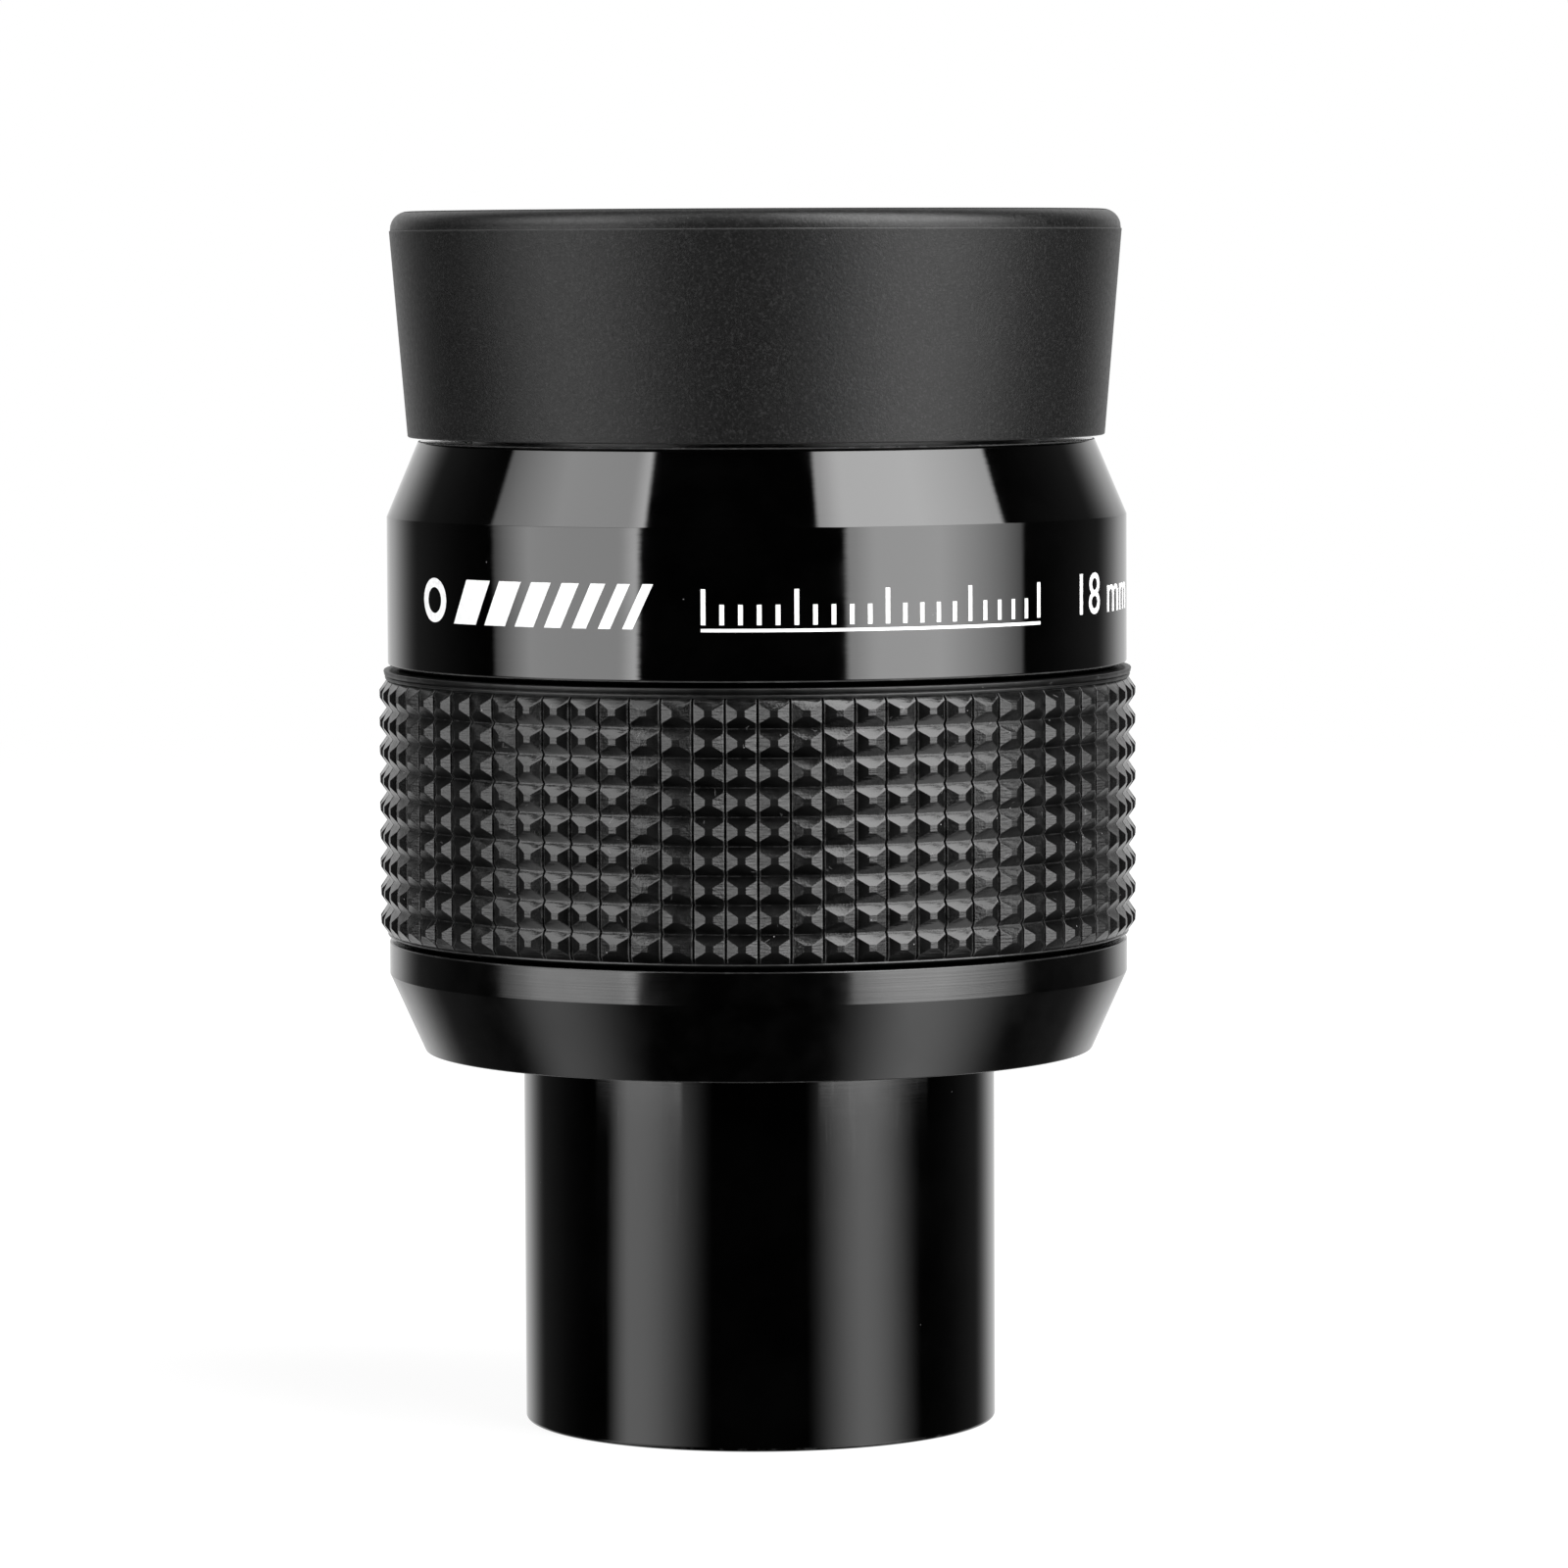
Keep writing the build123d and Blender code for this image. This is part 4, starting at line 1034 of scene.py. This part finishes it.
PRINT_HEIGHT = 30.8  # middle of the print, above the shoulder
PRINT_THICKNESS = 0.02
MARK_START = -61.5  # degrees round the shell from straight ahead, to the right
MARK_TALL = 2.9
MARK_RING_WIDTH = 0.6
MARK_RING_POINTS = 48
MARK_RING_GAP = 1.6
MARK_BARS = 7
MARK_WIDEST_BAR = 2.3
MARK_NARROWING = 0.82
MARK_BAR_GAP = 0.85
MARK_SLANT = 0.7
SCALE_START = -8.0
SCALE_TICKS = 21
SCALE_TALL_EVERY = 5
SCALE_PITCH = 1.2
SCALE_TALL = 2.3
SCALE_SHORT = 1.3
NUMBER_START = 56.5
NUMBER_SIZE = 3.9
STROKE = 0.3
CUT = 0.5  # spacing of the cuts that let the print bend round the shell


def ring_shape(maker, across, up, outer, inner):
    """A flat ring."""
    loops = ([], [])
    for loop, radius in zip(loops, (outer, inner)):
        for step in range(MARK_RING_POINTS):
            angle = 2 * pi * step / MARK_RING_POINTS
            loop.append(maker.verts.new((across + radius * cos(angle), up + radius * sin(angle), 0)))
    for step in range(MARK_RING_POINTS):
        after = (step + 1) % MARK_RING_POINTS
        maker.faces.new((loops[0][step], loops[0][after], loops[1][after], loops[1][step]))


def flat_shape(maker, corners):
    """A filled shape with these corners, anticlockwise."""
    maker.faces.new([maker.verts.new((across, up, 0)) for across, up in corners])


def wrap_print(maker, start):
    """Cuts flat shapes into narrow strips, thickens them and bends them round the shell."""
    lengths = [vert.co.x for vert in maker.verts]
    place = min(lengths) + CUT
    while place < max(lengths):
        everything = [*maker.verts, *maker.edges, *maker.faces]
        bmesh.ops.bisect_plane(maker, geom=everything, plane_co=(place, 0, 0), plane_no=(1, 0, 0))
        place += CUT
    flat = list(maker.verts)
    raised = bmesh.ops.extrude_face_region(maker, geom=list(maker.faces))
    top = [vert for vert in raised["geom"] if isinstance(vert, bmesh.types.BMVert)]
    for vert in flat:
        vert.co.z = -PRINT_THICKNESS
    for vert in top:
        vert.co.z = PRINT_THICKNESS
    for vert in maker.verts:
        angle = radians(start) + vert.co.x / SHELL_RADIUS
        radius = SHELL_RADIUS + vert.co.z
        height = PRINT_HEIGHT + vert.co.y
        vert.co = Vector((radius * sin(angle), -radius * cos(angle), height)) * MM
    bmesh.ops.recalc_face_normals(maker, faces=list(maker.faces))


def print_piece(name, maker, start, material):
    wrap_print(maker, start)
    mesh = bpy.data.meshes.new(name)
    maker.to_mesh(mesh)
    maker.free()
    link_piece(name, mesh, material, "housing")


def make_mark(material):
    """A plain pattern: a ring and a row of slanted bars that get narrower."""
    maker = bmesh.new()
    half = MARK_TALL / 2
    ring_shape(maker, half, 0, half, half - MARK_RING_WIDTH)
    place = MARK_TALL + MARK_RING_GAP
    for step in range(MARK_BARS):
        width = MARK_WIDEST_BAR * MARK_NARROWING**step
        flat_shape(maker, [
            (place - MARK_SLANT, -half), (place + width - MARK_SLANT, -half),
            (place + width + MARK_SLANT, half), (place + MARK_SLANT, half)])
        place += width + MARK_BAR_GAP
    print_piece("print_mark", maker, MARK_START, material)


def make_scale(material):
    """A plain scale of upright ticks over a base line, every fifth tick tall."""
    maker = bmesh.new()
    for step in range(SCALE_TICKS):
        tall = SCALE_TALL if step % SCALE_TALL_EVERY == 0 else SCALE_SHORT
        middle = step * SCALE_PITCH
        low = -SCALE_TALL / 2
        flat_shape(maker, [
            (middle - STROKE / 2, low), (middle + STROKE / 2, low),
            (middle + STROKE / 2, low + tall), (middle - STROKE / 2, low + tall)])
    length = (SCALE_TICKS - 1) * SCALE_PITCH
    base = -SCALE_TALL / 2 - STROKE * 1.5
    flat_shape(maker, [
        (-STROKE / 2, base), (length + STROKE / 2, base),
        (length + STROKE / 2, base + STROKE * 0.7), (-STROKE / 2, base + STROKE * 0.7)])
    print_piece("print_scale", maker, SCALE_START, material)


def make_number(material):
    """The focal length in plain figures and letters."""
    text = bpy.data.curves.new("figures", "FONT")
    text.body = "18 mm"
    text.size = NUMBER_SIZE
    text.align_y = "CENTER"
    text.resolution_u = 6
    holder = bpy.data.objects.new("figures", text)
    bpy.context.scene.collection.objects.link(holder)
    filled = bpy.data.meshes.new_from_object(holder.evaluated_get(bpy.context.evaluated_depsgraph_get()))
    bpy.data.objects.remove(holder)
    maker = bmesh.new()
    maker.from_mesh(filled)
    bpy.data.meshes.remove(filled)
    bmesh.ops.remove_doubles(maker, verts=list(maker.verts), dist=1e-5)
    print_piece("print_number", maker, NUMBER_START, material)


# ===================================================================== assembly

make_camera()
make_lights()
make_floor()
make_barrel()
make_housing()
make_shell()
make_grip()
make_cup()
ink = white_print()
make_mark(ink)
make_scale(ink)
make_number(ink)

finishes = {
    "inner_black": turned_metal("inner_black", tone=0.008, roughness=0.42),
    "neck_metal": turned_metal("neck_metal", tone=0.012, roughness=0.32, mark_depth=0.003),
    "cell_metal": turned_metal("cell_metal", tone=0.008, roughness=0.5, mark_depth=0.006, spacing=0.18),
    "steel": bright_steel(),
    "black_steel": black_oxide(),
    "ring_plastic": moulded_plastic(),
    "coated_glass": glass("coated_glass", tint=(0.9, 0.97, 0.92, 1), coating=(0.3, 0.85, 0.45, 1)),
    "plain_glass": glass("plain_glass", tint=(0.96, 0.98, 0.97, 1), coating=(0.75, 0.6, 0.9, 1)),
}
slot_of = {part["node"]: part["material_slot"] for part in frame["record"]["subparts"]}
for name, node in frame["nodes"].items():
    finish = finishes.get(slot_of[name])
    if finish is not None:
        node.material_slots[0].material = finish
